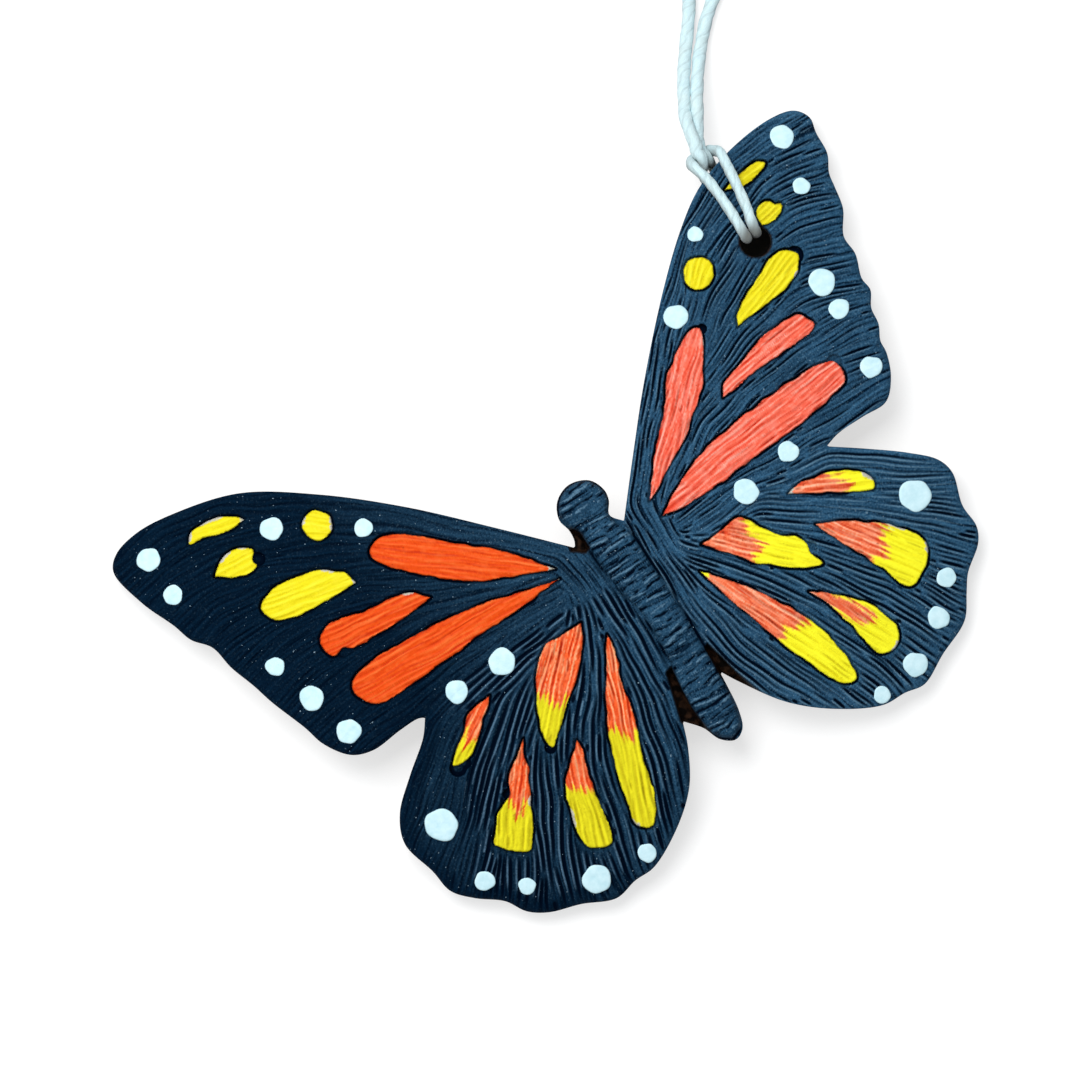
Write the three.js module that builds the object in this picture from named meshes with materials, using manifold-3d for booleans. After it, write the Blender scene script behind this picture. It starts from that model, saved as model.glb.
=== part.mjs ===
// Butterfly ornament carved from a piece of hard-shelled gourd, painted, with a cotton hanging loop.
// Millimetres, +Z up. The piece lies face up on a table with its domed side towards +Z.
// +X runs to the right wing and +Y to the head. The drawing below has its origin at the head's centre.
// The finished group is shifted so that the origin is on the table, under the middle of the shell.

import * as THREE from "three";
import { mergeVertices } from "three/addons/utils/BufferGeometryUtils.js";
import Module from "manifold-3d";

const wasm = await Module();
wasm.setup();

// Overall size of the butterfly
const WINGSPAN = 100;
const LENGTH = 69;

// The gourd that the piece was cut from
const DOME_RADIUS = 140;
const WALL = 4;
const CROWN = new THREE.Vector2(-1.6, 5.7);
const FOOT_CUT = 0.8;

// Carving
const BODY_RISE = 0.8;
const LEDGE_DEPTH = 2.2;
const CELL_DEPTH = 0.6;

// Paint
const FILM_THICKNESS = 0.3;
const FILM_CLEARANCE = 0.15;
const DAB_HEIGHT = 0.35;
const DAB_CLEARANCE = 0.12;

// Cord and the hole that it hangs from. The cord is drawn at its firm core, without its soft outer fibres.
const CORD_DIAMETER = 1.3;
const HOLE_DIAMETER = 3.7;
const HOLE_CENTRE = [34.45, 15.5];
const KNOT_DIAMETER = 4.4;
const KNOT_LENGTH = 4.6;
const TAIL_LENGTH = 5.5;

// Fineness of the mesh
const DOME_RINGS = 6;
const DOME_SEGMENTS = 32;
const DOME_REACH = 68;
const OUTLINE_STEPS = 2;
const CELL_STEPS = 2;
const HOLE_SIDES = 16;
const DAB_SIDES = 12;
const CORD_SIDES = 8;
const ROUTE_STEPS = 2;

// The drawing's own size, which WINGSPAN and LENGTH stretch
const DRAWN_WINGSPAN = 100;
const DRAWN_LENGTH = 69;

const COLOURS = {
  navy: 0x17364f,
  orange: 0xf45a1e,
  coral: 0xf5735c,
  flame: 0xf28a55,
  yellow: 0xf1e826,
  white: 0xe6f7fb,
  cotton: 0xe4ece8,
};

// Outline of the piece as smooth runs, each from corner to corner, anticlockwise from the left of the neck
const OUTLINE_RUNS = [
  // left forewing: leading edge, tip, scalloped margin and lower corner
  [
    [-3.6, -3.8], [-10, 3], [-18, 11.2], [-26, 18.1], [-34, 23.4], [-42, 25.6], [-47, 26.05],
    [-50.5, 25.2], [-51.9, 23.6], [-51, 18.6], [-49.2, 14.2], [-48.4, 11.7], [-46.7, 9.5],
    [-46.1, 6.3], [-45, 3], [-44.2, 0.1], [-42.5, -4.6], [-41.7, -7.4], [-39.6, -10.3],
    [-37, -11.25], [-33, -10.95], [-30.4, -10.95], [-29.7, -11.3],
  ],
  // left hindwing
  [
    [-29.7, -11.3], [-31.2, -13.2], [-35, -16.2], [-38.5, -19.4], [-39.95, -22.8], [-38.9, -27.4],
    [-38.4, -30.5], [-36.4, -32.8], [-33.5, -35.1], [-32, -37.5], [-29.8, -39.05], [-26, -40.3],
    [-22, -42], [-19, -41.4], [-16.2, -41.25], [-11, -38.5], [-7.4, -35.3], [-5, -31.2],
    [-3.9, -28.3],
  ],
  // tail of the body
  [
    [-3.9, -28.3], [-2.2, -30.4], [-1.3, -32.5], [0.3, -33.6], [1.7, -32.9], [2.5, -30.8],
    [2.9, -27.5], [3.05, -25.6],
  ],
  // right hindwing
  [
    [3.05, -25.6], [4.4, -28], [7.8, -33], [12, -36.7], [17.4, -39.65], [20.5, -39.85],
    [23, -40.25], [26.8, -38.4], [31.2, -36.4], [33.2, -33.7], [34.6, -31.8], [37.6, -29.4],
    [38.5, -27.6], [38.4, -24.6], [39.5, -20.6], [38.9, -18.4], [36.3, -15.75], [32.2, -12.55],
    [28.4, -9.8],
  ],
  // right forewing: lower corner, scalloped margin, tip and leading edge
  [
    [28.4, -9.8], [30.4, -9.25], [34, -9.15], [37.3, -9.15], [39.4, -7], [40.55, -4.2],
    [40.7, -2.6], [41.6, -0.8], [41.9, 1.3], [43, 3.2], [42.85, 4.9], [43.8, 7.8], [43.75, 10.3],
    [45.5, 13.2], [46.05, 15.8], [46.4, 17.7], [47.5, 19.8], [47.7, 22.6], [48.05, 24.6],
    [46.9, 26.3], [44, 27], [38, 26.45], [32.3, 24.6], [28, 21.8], [22.1, 16.65], [14.2, 8.6],
    [8.2, 1.75], [3.1, -4.25],
  ],
  // neck and head
  [
    [3.1, -4.25], [2, -2.7], [2.9, -1.2], [3.1, 0.2], [2.2, 2.1], [-0.2, 2.95], [-2.4, 2], [-3.4, 0],
    [-3.05, -1.7], [-3.2, -3.1], [-3.6, -3.8],
  ],
];

// Body ridge: head, thorax and abdomen as one closed run
const BODY_RUN = [
  [0, -33.2], [1.7, -32.4], [2.5, -30], [2.8, -26], [3, -21], [3.2, -16], [3, -10], [2.9, -6],
  [1.9, -2.7], [2.8, -1], [2.8, 0.6], [1.8, 2.2], [-0.2, 2.7], [-2.1, 1.9], [-3.1, 0], [-2.7, -1.5],
  [-2, -2.6], [-2.1, -6], [-1.8, -10.5], [-1, -15], [-1.1, -20], [-1.8, -24.5], [-2, -28.5],
  [-1.4, -31.8], [0, -33.2],
];

// Deep ledges where the gourd wall shows beside the neck and the tail
const LEDGES = [
  [[-2.05, -1.9], [-3.6, -1.5], [-4.2, -3.9], [-2.8, -5], [-2.15, -4.7]],
  [[-1.6, -22.1], [-2.4, -22.3], [-3, -24.5], [-4.05, -28.2], [-3.6, -30.6], [-2, -31], [-2, -25]],
  [[3.55, -22], [3.1, -22.4], [2.95, -26.2], [4.2, -29], [5.7, -30.2], [4.7, -27], [4.2, -24.5]],
];

// Cells of the wing pattern. Each starts and ends at its sharp tip.
const CELLS = {
  left_forewing: {
    yellow: [
      [[-35.2, 20.4], [-35.8, 21.3], [-38.2, 22.5], [-41.4, 22.5], [-42.4, 21.4], [-40.5, 21.15], [-38.4, 20.3]],
      [
        [-41.9, 16.5], [-40.2, 15.2], [-38.4, 14.7], [-36.8, 15], [-36.2, 16.6], [-37.4, 17.8],
        [-39.2, 18.1], [-40.6, 17.6],
      ],
      [
        [-27.9, 6.8], [-28.3, 8.1], [-29.8, 9.8], [-31.5, 10.7], [-34.5, 11.4], [-37, 11.6],
        [-39.3, 10.6], [-39.2, 9.2], [-38.4, 8], [-36.2, 7.2], [-32, 6.85],
      ],
    ],
    orange: [
      [
        [-6.9, -4.7], [-9, -1.9], [-12, 1.5], [-16, 5], [-20.5, 9.1], [-22.5, 9.75], [-24.3, 9.3],
        [-24.75, 8.3], [-23.8, 6.6], [-20.5, 3.1], [-16.5, -0.3], [-13, -2.1], [-10, -3.4],
      ],
      [
        [-21.3, 0.45], [-23, 2.2], [-24.8, 2.9], [-28, 3.25], [-31, 3.95], [-33.2, 4.35],
        [-34.9, 3.9], [-35.5, 2.7], [-35.1, 1], [-33.4, 1], [-32.2, 0.35], [-29, 0.05], [-25, 0.2],
      ],
      [
        [-7.1, -5.95], [-11, -5], [-16, -3.6], [-22, -2.6], [-27.5, -2.15], [-33.5, -2.4],
        [-34.9, -3.3], [-35.15, -4.8], [-34.2, -6.4], [-33.2, -6.95], [-25, -6.95], [-18, -6.5],
        [-12, -6.35],
      ],
    ],
  },
  left_hindwing: {
    flame: [
      [[-21.7, -13.2], [-24.7, -13.6], [-27, -15.5], [-30, -18], [-27.4, -18], [-25, -16.1], [-22.7, -14.3]],
      [
        [-21.1, -19.7], [-23.6, -21.6], [-25.5, -23.2], [-26.6, -24.7], [-28.4, -25.4],
        [-30.8, -28.2], [-30, -29.7], [-28.8, -31.1], [-27.4, -31.5], [-25.6, -29], [-24.2, -26.4],
        [-22.6, -22.9],
      ],
      [
        [-7.8, -11.75], [-10.5, -11.75], [-12.8, -11.7], [-14.6, -12.8], [-16.3, -15], [-17.8, -17.5],
        [-18.8, -20], [-19, -22], [-18.7, -22.6], [-17.5, -21.8], [-15, -19.6], [-12, -17.2],
        [-9.8, -15], [-8.6, -13.3],
      ],
      [
        [-15.8, -23.3], [-18, -25.2], [-19.8, -27.3], [-21, -30], [-21.8, -33.5], [-21.5, -35],
        [-20.2, -36], [-18.9, -36], [-18, -34], [-17.4, -30.5], [-16.6, -27], [-15.7, -24.3],
      ],
      [
        [-5.9, -14.6], [-8, -17.6], [-10.4, -21.4], [-12, -24.5], [-13.5, -28], [-14.8, -33],
        [-15.3, -36], [-14.1, -36.9], [-12.7, -36.1], [-11.6, -34], [-10.2, -29.5], [-8.8, -25.6],
        [-7.4, -20.5], [-6.2, -17],
      ],
    ],
  },
  right_forewing: {
    yellow: [
      [[34.6, 22.7], [36, 22.15], [37.6, 21.8], [39.4, 22.2], [40.6, 22.8], [40, 23.4], [38.5, 23.5], [36.5, 23.3]],
      [
        [36.12, 16.7], [37.05, 16.4], [38.4, 16.65], [39.55, 17.4], [39.4, 17.85], [38.85, 18.05],
        [38.65, 18.7], [38.1, 19.05], [37.3, 18.95], [36.4, 18.4], [36.1, 17.5],
      ],
      [
        [27.1, 8], [28, 9.4], [30, 10.7], [33, 12], [35.4, 12.95], [36.5, 12.95], [37.6, 12.1],
        [37.9, 11.3], [37, 9.8], [36, 9.3], [33, 8.65], [29.8, 8.3],
      ],
    ],
    coral: [
      [
        [6.9, -3.95], [9, -1.3], [11, 1.1], [14, 4.1], [16.5, 7.2], [19, 9.2], [22, 10.75], [23.1, 10.4],
        [22.8, 9], [21.5, 6.8], [19, 3.8], [16, 1.2], [14.5, 0.1], [11.5, -1.4], [9, -3.1],
      ],
      [
        [21, 1.75], [21.8, 2.9], [24.5, 3.95], [28, 5.1], [31.5, 5.55], [34, 5.5], [34.7, 4.6],
        [35.1, 3.4], [34, 2.8], [31, 2.6], [27, 2.4], [23.5, 2],
      ],
      [
        [7.3, -6.2], [9.5, -4.9], [12, -3.6], [16, -2.1], [20, -1.6], [25, -1.05], [30, -0.85],
        [33.5, -1.1], [34.8, -1.7], [35.1, -2.8], [34.6, -4.3], [33.2, -4.95], [28, -5.75],
        [22, -6.2], [15, -6.65], [10, -6.7],
      ],
    ],
  },
  right_hindwing: {
    flame: [
      [
        [21.4, -12.1], [22.8, -11.7], [24.8, -12.05], [27, -12.5], [29, -13.6], [30.6, -15],
        [31, -16.2], [30.5, -17.2], [29.6, -17], [26.5, -15.1], [23, -13.1],
      ],
      [
        [9.4, -11.6], [12, -11.45], [14.8, -11.3], [15.7, -12.2], [17, -14.4], [18.2, -16],
        [19.5, -16.9], [20.1, -18.3], [19.9, -19.6], [20.5, -21.4], [18.5, -20.9], [16, -19],
        [13.6, -16.9], [11.5, -14.2],
      ],
      [
        [22.2, -16.9], [24, -17.7], [26.5, -19.2], [28.5, -20.7], [30.4, -22.6], [32, -24.8],
        [32.3, -26.3], [31.5, -27.6], [30, -28.8], [28.2, -29.6], [27.2, -28.7], [26.2, -25.8],
        [24.6, -22.2], [22.9, -18.9],
      ],
      [
        [17.2, -23.3], [19, -24.6], [21, -26.5], [22.5, -28.2], [23.6, -30.8], [24, -32.6],
        [23.3, -34.1], [21.9, -34.8], [20.4, -34.1], [19.7, -31.5], [19, -28], [18.2, -25.4],
      ],
      [
        [7.5, -14.2], [9, -15.9], [11, -18.4], [13, -21.5], [15, -25], [16.3, -28.5], [16.9, -32.5],
        [16.8, -34.8], [16.3, -35.4], [15, -35], [14, -33.5], [12.4, -30], [10.8, -26], [9.2, -20.5],
        [8.2, -17],
      ],
    ],
  },
};

// Round yellow cells, one on each forewing: centre and radius
const ROUND_CELLS = {
  left_forewing: [-28.1, 15.1, 1.8],
  right_forewing: [26.6, 15.9, 1.9],
};

// White dabs: centre and radius
const DABS = {
  left_forewing: [
    [-47.5, 22.55, 1.43], [-47.3, 17.4, 1.2], [-33, 17.7, 1.4], [-23.65, 11.85, 1.13], [-41.55, 3.55, 1.15],
    [-39.9, -2, 1.5], [-38.3, -7.75, 1.5], [-24.8, -10.7, 1.4], [-18.3, -10.6, 1.65],
  ],
  left_hindwing: [
    [-35, -23.2, 2], [-34.25, -31.7, 1.22], [-30.3, -34.95, 1.05], [-22.8, -38.75, 1.75], [-16, -39.35, 1.15],
  ],
  right_forewing: [
    [43.95, 24.4, 1.45], [42.7, 18.15, 1.05], [28.8, 20.1, 0.95], [21.5, 13, 1.48], [38.55, 7.1, 1.65],
    [38.55, 3.3, 1.25], [38.05, -4.65, 1.33], [24.15, -7.85, 1.28], [17.3, -9.15, 1.55],
  ],
  right_hindwing: [
    [34.2, -20.5, 1.95], [32.1, -30.85, 1.2], [28.7, -34.4, 1.35], [23.35, -37.65, 1.5], [18, -38.55, 1.05],
  ],
};

// Cord route, as points from the table up. The two strands of the hanging loop come in over the table,
// pass through the bight at the wing's edge, run under the wing to the hole, and come up through it.
// The bight's two legs lie on the face of the wing and its closed end goes round both strands.
const HITCH_ROUTE = [
  [34.36, 28.34, 7.5], [34.42, 27.6, 7.52], [34.3, 26.95, 7.27], [33.93, 26.38, 6.4], [33.68, 26.12, 5.2],
  [33.58, 26.02, 4], [33.5, 25.6, 3.05], [33.4, 23.5, 2.7], [33.5, 20.8, 2.75], [33.7, 18.7, 3.05],
  [33.77, 17.35, 3.45], [33.78, 16.62, 4.05], [33.78, 16.42, 4.95], [33.78, 16.38, 6.2], [33.78, 16.38, 7.5],
  [33.78, 16.41, 8.6], [33.78, 16.5, 9.42], [33.78, 17.1, 9.86], [33.8, 18.2, 9.84], [33.85, 20.5, 9.54],
  [33.74, 23, 9.22], [33.5, 25.2, 8.98], [33.2, 26.3, 8.72], [33.02, 26.98, 8.1], [33, 27.34, 7],
  [33.15, 27.64, 5.75], [33.7, 27.79, 4.75], [34.6, 27.84, 4.36], [35.5, 27.74, 4.48], [36.2, 27.38, 5.25],
  [36.54, 27.02, 6.4], [36.64, 26.66, 7.45], [36.56, 25.8, 7.98], [36.4, 24.3, 8.28], [36.05, 21.5, 8.74],
  [35.62, 19, 9.2], [35.32, 17.9, 9.46], [35.17, 17.1, 9.48], [35.12, 16.54, 9.06], [35.12, 16.4, 8.2],
  [35.12, 16.38, 7], [35.12, 16.38, 5.6], [35.12, 16.4, 4.5], [35.12, 16.58, 3.65], [35.12, 17.35, 3.05],
  [35.15, 18.8, 2.8], [35.1, 20.8, 2.6], [35.05, 23.5, 2.35], [35.02, 25.5, 2.4], [35, 26.22, 2.85],
  [35, 26.42, 3.7], [35, 26.55, 4.9], [35.03, 26.85, 5.75], [34.98, 27.4, 6.1], [34.79, 28.14, 6.03],
];
const NECK_ROUTES = {
  left: [[34.6, 29.1, 7.45], [35.05, 31.32, 6.6], [35.65, 33.09, 5.2]],
  right: [[35.03, 29.07, 5.98], [35.3, 29.8, 5.85], [36.1, 31, 5.4], [36.94, 32.33, 5.15]],
};
const LOOP_ROUTES = {
  left: [
    [36.06, 33.78, 5], [37.33, 35.93, 3.6], [38.82, 38.11, 2.1], [40.5, 40.28, 1], [42.4, 42.74, 0.8],
    [45.3, 47.1, 0.8], [48.6, 52, 0.8], [52.6, 56.8, 0.8], [56.5, 61.1, 1.3], [58.07, 63.06, 2.2],
  ],
  right: [
    [37.35, 33.02, 5], [38.67, 35.07, 3.6], [40.18, 37.09, 2.1], [41.9, 39.12, 1], [44, 41.26, 0.8],
    [48.1, 44.6, 0.8], [52.6, 48.8, 0.8], [56.4, 54.3, 0.8], [58.7, 59.85, 1.3], [59.51, 62.36, 2.2],
  ],
};
const KNOT_CENTRE = [60.06, 65.24, 2.2];
const KNOT_HEADING = [0.45, 0.893, 0];
const TAIL_SPREAD = 0.22;

const stretch = new THREE.Vector2(WINGSPAN / DRAWN_WINGSPAN, LENGTH / DRAWN_LENGTH);

function onDrawing([x, y]) {
  return new THREE.Vector2(x, y).multiply(stretch);
}

// A smooth run through drawn points, as points in the plane
function smoothRun(points, stepsPerSpan) {
  const knots = points.map((point) => new THREE.Vector3(...onDrawing(point).toArray(), 0));
  const curve = new THREE.CatmullRomCurve3(knots, false, "centripetal");
  const sampled = curve.getPoints((points.length - 1) * stepsPerSpan);
  return sampled.map((point) => new THREE.Vector2(point.x, point.y));
}

// Cell outline that closes at its first point
function cellOutline(points) {
  return smoothRun([...points, points[0]], CELL_STEPS).slice(0, -1);
}

function circleOutline([x, y, radius]) {
  const centre = onDrawing([x, y]);
  const turn = (2 * Math.PI) / HOLE_SIDES;
  const corners = Array.from({ length: HOLE_SIDES }, (_, i) => i * turn);
  return corners.map((angle) => new THREE.Vector2(Math.cos(angle), Math.sin(angle)).multiplyScalar(radius).add(centre));
}

// The outline moved inwards by a distance, corner by corner
function inset(outline, distance) {
  const inward = THREE.ShapeUtils.isClockWise(outline) ? -distance : distance;
  return outline.map((corner, i) => {
    const before = outline[(i + outline.length - 1) % outline.length];
    const after = outline[(i + 1) % outline.length];
    const arriving = corner.clone().sub(before).normalize();
    const leaving = after.clone().sub(corner).normalize();
    const middle = arriving.clone().add(leaving).normalize();
    const normal = new THREE.Vector2(-middle.y, middle.x);
    const slant = Math.max(normal.dot(new THREE.Vector2(-arriving.y, arriving.x)), 0.15);
    return corner.clone().addScaledVector(normal, inward / slant);
  });
}

// Closed geometry to a solid for cutting and joining, and back
function solidOf(geometry) {
  const bare = geometry.clone();
  bare.deleteAttribute("normal");
  bare.deleteAttribute("uv");
  const merged = mergeVertices(bare, 1e-4);
  const corners = merged.index.array;
  const kept = [];
  for (let i = 0; i < corners.length; i += 3) {
    const [a, b, c] = corners.slice(i, i + 3);
    if (a !== b && b !== c && c !== a) kept.push(a, b, c);
  }
  const vertProperties = new Float32Array(merged.attributes.position.array);
  return new wasm.Manifold(new wasm.Mesh({ numProp: 3, vertProperties, triVerts: new Uint32Array(kept) }));
}

function geometryOf(solid) {
  const mesh = solid.getMesh();
  const geometry = new THREE.BufferGeometry();
  geometry.setAttribute("position", new THREE.BufferAttribute(mesh.vertProperties, 3));
  geometry.setIndex(new THREE.BufferAttribute(mesh.triVerts, 1));
  geometry.computeVertexNormals();
  return geometry;
}

const outline = OUTLINE_RUNS.flatMap((run) => smoothRun(run, OUTLINE_STEPS).slice(0, -1));

// The table touches the points of the underside that lie furthest from the crown
const footReach = Math.max(...outline.map((point) => point.distanceTo(CROWN)));
const insideRadius = DOME_RADIUS - WALL;
const footDrop = insideRadius - Math.sqrt(insideRadius ** 2 - footReach ** 2);
const crownHeight = WALL + footDrop - FOOT_CUT;
const domeCentre = new THREE.Vector3(CROWN.x, CROWN.y, crownHeight - DOME_RADIUS);

// A layer of the dome between two radii, as a closed lathe
function domeLayer(outerRadius, innerRadius) {
  const reach = Math.asin(DOME_REACH / DOME_RADIUS);
  const profile = [];
  for (let ring = DOME_RINGS; ring >= 0; ring -= 1) {
    const angle = (reach * ring) / DOME_RINGS;
    profile.push(new THREE.Vector2(outerRadius * Math.sin(angle), outerRadius * Math.cos(angle)));
  }
  for (let ring = 0; ring <= DOME_RINGS; ring += 1) {
    const angle = (reach * ring) / DOME_RINGS;
    profile.push(new THREE.Vector2(innerRadius * Math.sin(angle), innerRadius * Math.cos(angle)));
  }
  profile.push(profile[0].clone());
  const lathe = new THREE.LatheGeometry(profile, DOME_SEGMENTS);
  lathe.rotateX(Math.PI / 2);
  lathe.translate(domeCentre.x, domeCentre.y, domeCentre.z);
  return solidOf(lathe);
}

// Straight prism over an outline, from below the table to above the crown
function prism(points) {
  const geometry = new THREE.ExtrudeGeometry(new THREE.Shape(points), {
    depth: 3 * crownHeight,
    bevelEnabled: false,
  });
  geometry.translate(0, 0, -crownHeight);
  return solidOf(geometry);
}

const aboveTable = new THREE.BoxGeometry(4 * WINGSPAN, 4 * WINGSPAN, 3 * crownHeight);
aboveTable.translate(0, 0, 1.5 * crownHeight);

const cells = [];
for (const [wing, colours] of Object.entries(CELLS)) {
  for (const [colour, list] of Object.entries(colours)) {
    list.forEach((points, i) => {
      cells.push({ name: `${wing}_${colour}_${i + 1}`, colour, outline: cellOutline(points) });
    });
  }
}
for (const [wing, circle] of Object.entries(ROUND_CELLS)) {
  cells.push({ name: `${wing}_yellow_spot`, colour: "yellow", outline: circleOutline(circle) });
}

// Shell: the outline cut from the gourd's wall, with the body ridge, ledges, cells, cord hole and feet
function gourdShell() {
  const carvedLayer = domeLayer(DOME_RADIUS + 2 * BODY_RISE, DOME_RADIUS - CELL_DEPTH);
  const ledgeLayer = domeLayer(DOME_RADIUS + 2 * BODY_RISE, DOME_RADIUS - LEDGE_DEPTH);
  const ridge = domeLayer(DOME_RADIUS + BODY_RISE, DOME_RADIUS - WALL / 2);
  let shell = domeLayer(DOME_RADIUS, insideRadius);
  shell = shell.add(ridge.intersect(prism(smoothRun(BODY_RUN, OUTLINE_STEPS).slice(0, -1))));
  shell = shell.intersect(prism(outline));
  for (const ledge of LEDGES) {
    shell = shell.subtract(ledgeLayer.intersect(prism(ledge.map(onDrawing))));
  }
  for (const cell of cells) {
    shell = shell.subtract(carvedLayer.intersect(prism(cell.outline)));
  }
  shell = shell.subtract(prism(circleOutline([...HOLE_CENTRE, HOLE_DIAMETER / 2])));
  shell = shell.intersect(solidOf(aboveTable));
  return geometryOf(shell);
}

// Paint in one cell, lying on the floor of its pocket
const filmBottom = DOME_RADIUS - CELL_DEPTH + FILM_CLEARANCE;
const filmLayer = domeLayer(filmBottom + FILM_THICKNESS, filmBottom);

function paintFilm(cell) {
  return geometryOf(filmLayer.intersect(prism(inset(cell.outline, FILM_CLEARANCE))));
}

// Low dome of white paint
function paintDab(radius) {
  const profile = [
    new THREE.Vector2(0, 0),
    new THREE.Vector2(radius, 0),
    new THREE.Vector2(0.8 * radius, 0.75 * DAB_HEIGHT),
    new THREE.Vector2(0, DAB_HEIGHT),
  ];
  const geometry = new THREE.LatheGeometry(profile, DAB_SIDES);
  geometry.rotateX(Math.PI / 2);
  return geometry;
}

// Cord route whose steps follow the chosen points, so that close points make a fine bend
class Route extends THREE.CatmullRomCurve3 {
  constructor(points) {
    super(points.map((point) => new THREE.Vector3(...point)), false, "centripetal");
  }

  getUtoTmapping(u) {
    return u;
  }
}

const cordSection = new THREE.Shape(
  Array.from({ length: CORD_SIDES }, (_, i) => {
    const angle = (2 * Math.PI * i) / CORD_SIDES;
    return new THREE.Vector2(Math.cos(angle), Math.sin(angle)).multiplyScalar(CORD_DIAMETER / 2);
  }),
);

function cordTube(points, stepsPerSpan) {
  return new THREE.ExtrudeGeometry(cordSection, {
    steps: (points.length - 1) * stepsPerSpan,
    extrudePath: new Route(points),
  });
}

// Knot that ties the two strands, with its two short tails
function cordKnot() {
  const heading = new THREE.Vector3(...KNOT_HEADING).normalize();
  const side = new THREE.Vector3(heading.y, -heading.x, 0);
  const centre = new THREE.Vector3(...KNOT_CENTRE);
  const radius = KNOT_DIAMETER / 2;
  const half = KNOT_LENGTH / 2;
  const profile = [
    new THREE.Vector2(0, -half),
    new THREE.Vector2(0.72 * radius, -half),
    new THREE.Vector2(radius, -0.4 * half),
    new THREE.Vector2(radius, 0.4 * half),
    new THREE.Vector2(0.72 * radius, half),
    new THREE.Vector2(0, half),
  ];
  const barrel = new THREE.LatheGeometry(profile, DAB_SIDES);
  const alongHeading = new THREE.Quaternion().setFromUnitVectors(new THREE.Vector3(0, 1, 0), heading);
  barrel.applyQuaternion(alongHeading);
  barrel.translate(centre.x, centre.y, centre.z);
  let knot = solidOf(barrel);
  for (const hand of [-1, 1]) {
    const start = centre.clone().addScaledVector(side, 0.6 * hand * CORD_DIAMETER);
    const bend = start.clone().addScaledVector(heading, half + TAIL_LENGTH / 2);
    bend.addScaledVector(side, (hand * TAIL_SPREAD * TAIL_LENGTH) / 2);
    bend.z = 0.75 * CORD_DIAMETER;
    const end = bend.clone().addScaledVector(heading, TAIL_LENGTH / 2);
    end.addScaledVector(side, hand * TAIL_SPREAD * TAIL_LENGTH);
    end.z = 0.55 * CORD_DIAMETER;
    const tail = cordTube([start, bend, end].map((point) => point.toArray()), ROUTE_STEPS);
    knot = knot.add(solidOf(tail));
  }
  return geometryOf(knot);
}

function material(colour, roughness) {
  return new THREE.MeshStandardMaterial({ color: colour, roughness, metalness: 0 });
}

const materials = {
  navy: material(COLOURS.navy, 0.45),
  orange: material(COLOURS.orange, 0.5),
  coral: material(COLOURS.coral, 0.5),
  flame: material(COLOURS.flame, 0.5),
  yellow: material(COLOURS.yellow, 0.5),
  white: material(COLOURS.white, 0.45),
  cotton: material(COLOURS.cotton, 0.9),
};

const ornament = new THREE.Group();

function addMesh(name, geometry, colour) {
  const mesh = new THREE.Mesh(geometry, materials[colour]);
  mesh.name = name;
  ornament.add(mesh);
  return mesh;
}

const shell = addMesh("gourd_shell", gourdShell(), "navy");

for (const cell of cells) {
  addMesh(cell.name, paintFilm(cell), cell.colour);
}

for (const [wing, list] of Object.entries(DABS)) {
  list.forEach(([x, y, radius], i) => {
    const dab = addMesh(`${wing}_dot_${i + 1}`, paintDab(radius), "white");
    const place = onDrawing([x, y]);
    const fromCrown = place.distanceTo(CROWN);
    const height = domeCentre.z + Math.sqrt(DOME_RADIUS ** 2 - fromCrown ** 2);
    const normal = new THREE.Vector3(place.x, place.y, height).sub(domeCentre).normalize();
    dab.position.copy(domeCentre).addScaledVector(normal, DOME_RADIUS + DAB_CLEARANCE);
    dab.quaternion.setFromUnitVectors(new THREE.Vector3(0, 0, 1), normal);
  });
}

addMesh("cord_hitch", cordTube(HITCH_ROUTE, ROUTE_STEPS), "cotton");
for (const hand of ["left", "right"]) {
  addMesh(`cord_neck_${hand}`, cordTube(NECK_ROUTES[hand], ROUTE_STEPS), "cotton");
  addMesh(`cord_loop_${hand}`, cordTube(LOOP_ROUTES[hand], ROUTE_STEPS), "cotton");
}
addMesh("cord_knot", cordKnot(), "cotton");

// Origin on the table under the middle of the shell
const middle = new THREE.Box3().setFromObject(shell).getCenter(new THREE.Vector3());
ornament.position.set(-middle.x, -middle.y, 0);

export default ornament;
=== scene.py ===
"""Carved and painted gourd butterfly with a cotton hanging loop, seen from straight above.

Everything below is drawn in millimetres, with the origin at the centre of the butterfly's head, +X to the
right wing, +Y to the head and +Z up from the table. place() turns that into the frame's metres.
"""

import math

import bpy
import numpy as np
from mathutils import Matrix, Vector
from mathutils.geometry import delaunay_2d_cdt


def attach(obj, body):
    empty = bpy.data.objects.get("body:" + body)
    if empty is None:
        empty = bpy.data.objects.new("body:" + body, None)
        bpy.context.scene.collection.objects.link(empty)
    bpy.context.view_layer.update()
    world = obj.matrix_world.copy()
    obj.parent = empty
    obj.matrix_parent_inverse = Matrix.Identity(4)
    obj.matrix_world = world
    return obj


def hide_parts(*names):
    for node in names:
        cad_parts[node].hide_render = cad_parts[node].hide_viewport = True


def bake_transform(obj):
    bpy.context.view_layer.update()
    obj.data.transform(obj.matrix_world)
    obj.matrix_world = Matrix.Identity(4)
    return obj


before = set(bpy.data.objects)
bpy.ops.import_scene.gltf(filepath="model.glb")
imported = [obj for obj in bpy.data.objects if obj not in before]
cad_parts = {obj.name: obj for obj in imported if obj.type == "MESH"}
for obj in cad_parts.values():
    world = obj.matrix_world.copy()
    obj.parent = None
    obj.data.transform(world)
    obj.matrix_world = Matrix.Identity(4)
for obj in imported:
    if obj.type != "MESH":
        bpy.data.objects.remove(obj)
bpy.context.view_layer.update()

MM = 0.001
HEAD_IN_FRAME = np.array([1.925, 7.5, 0.0])


def place(points):
    """Drawing points in the frame, in metres."""
    return (np.asarray(points, float) + HEAD_IN_FRAME) * MM


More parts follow.
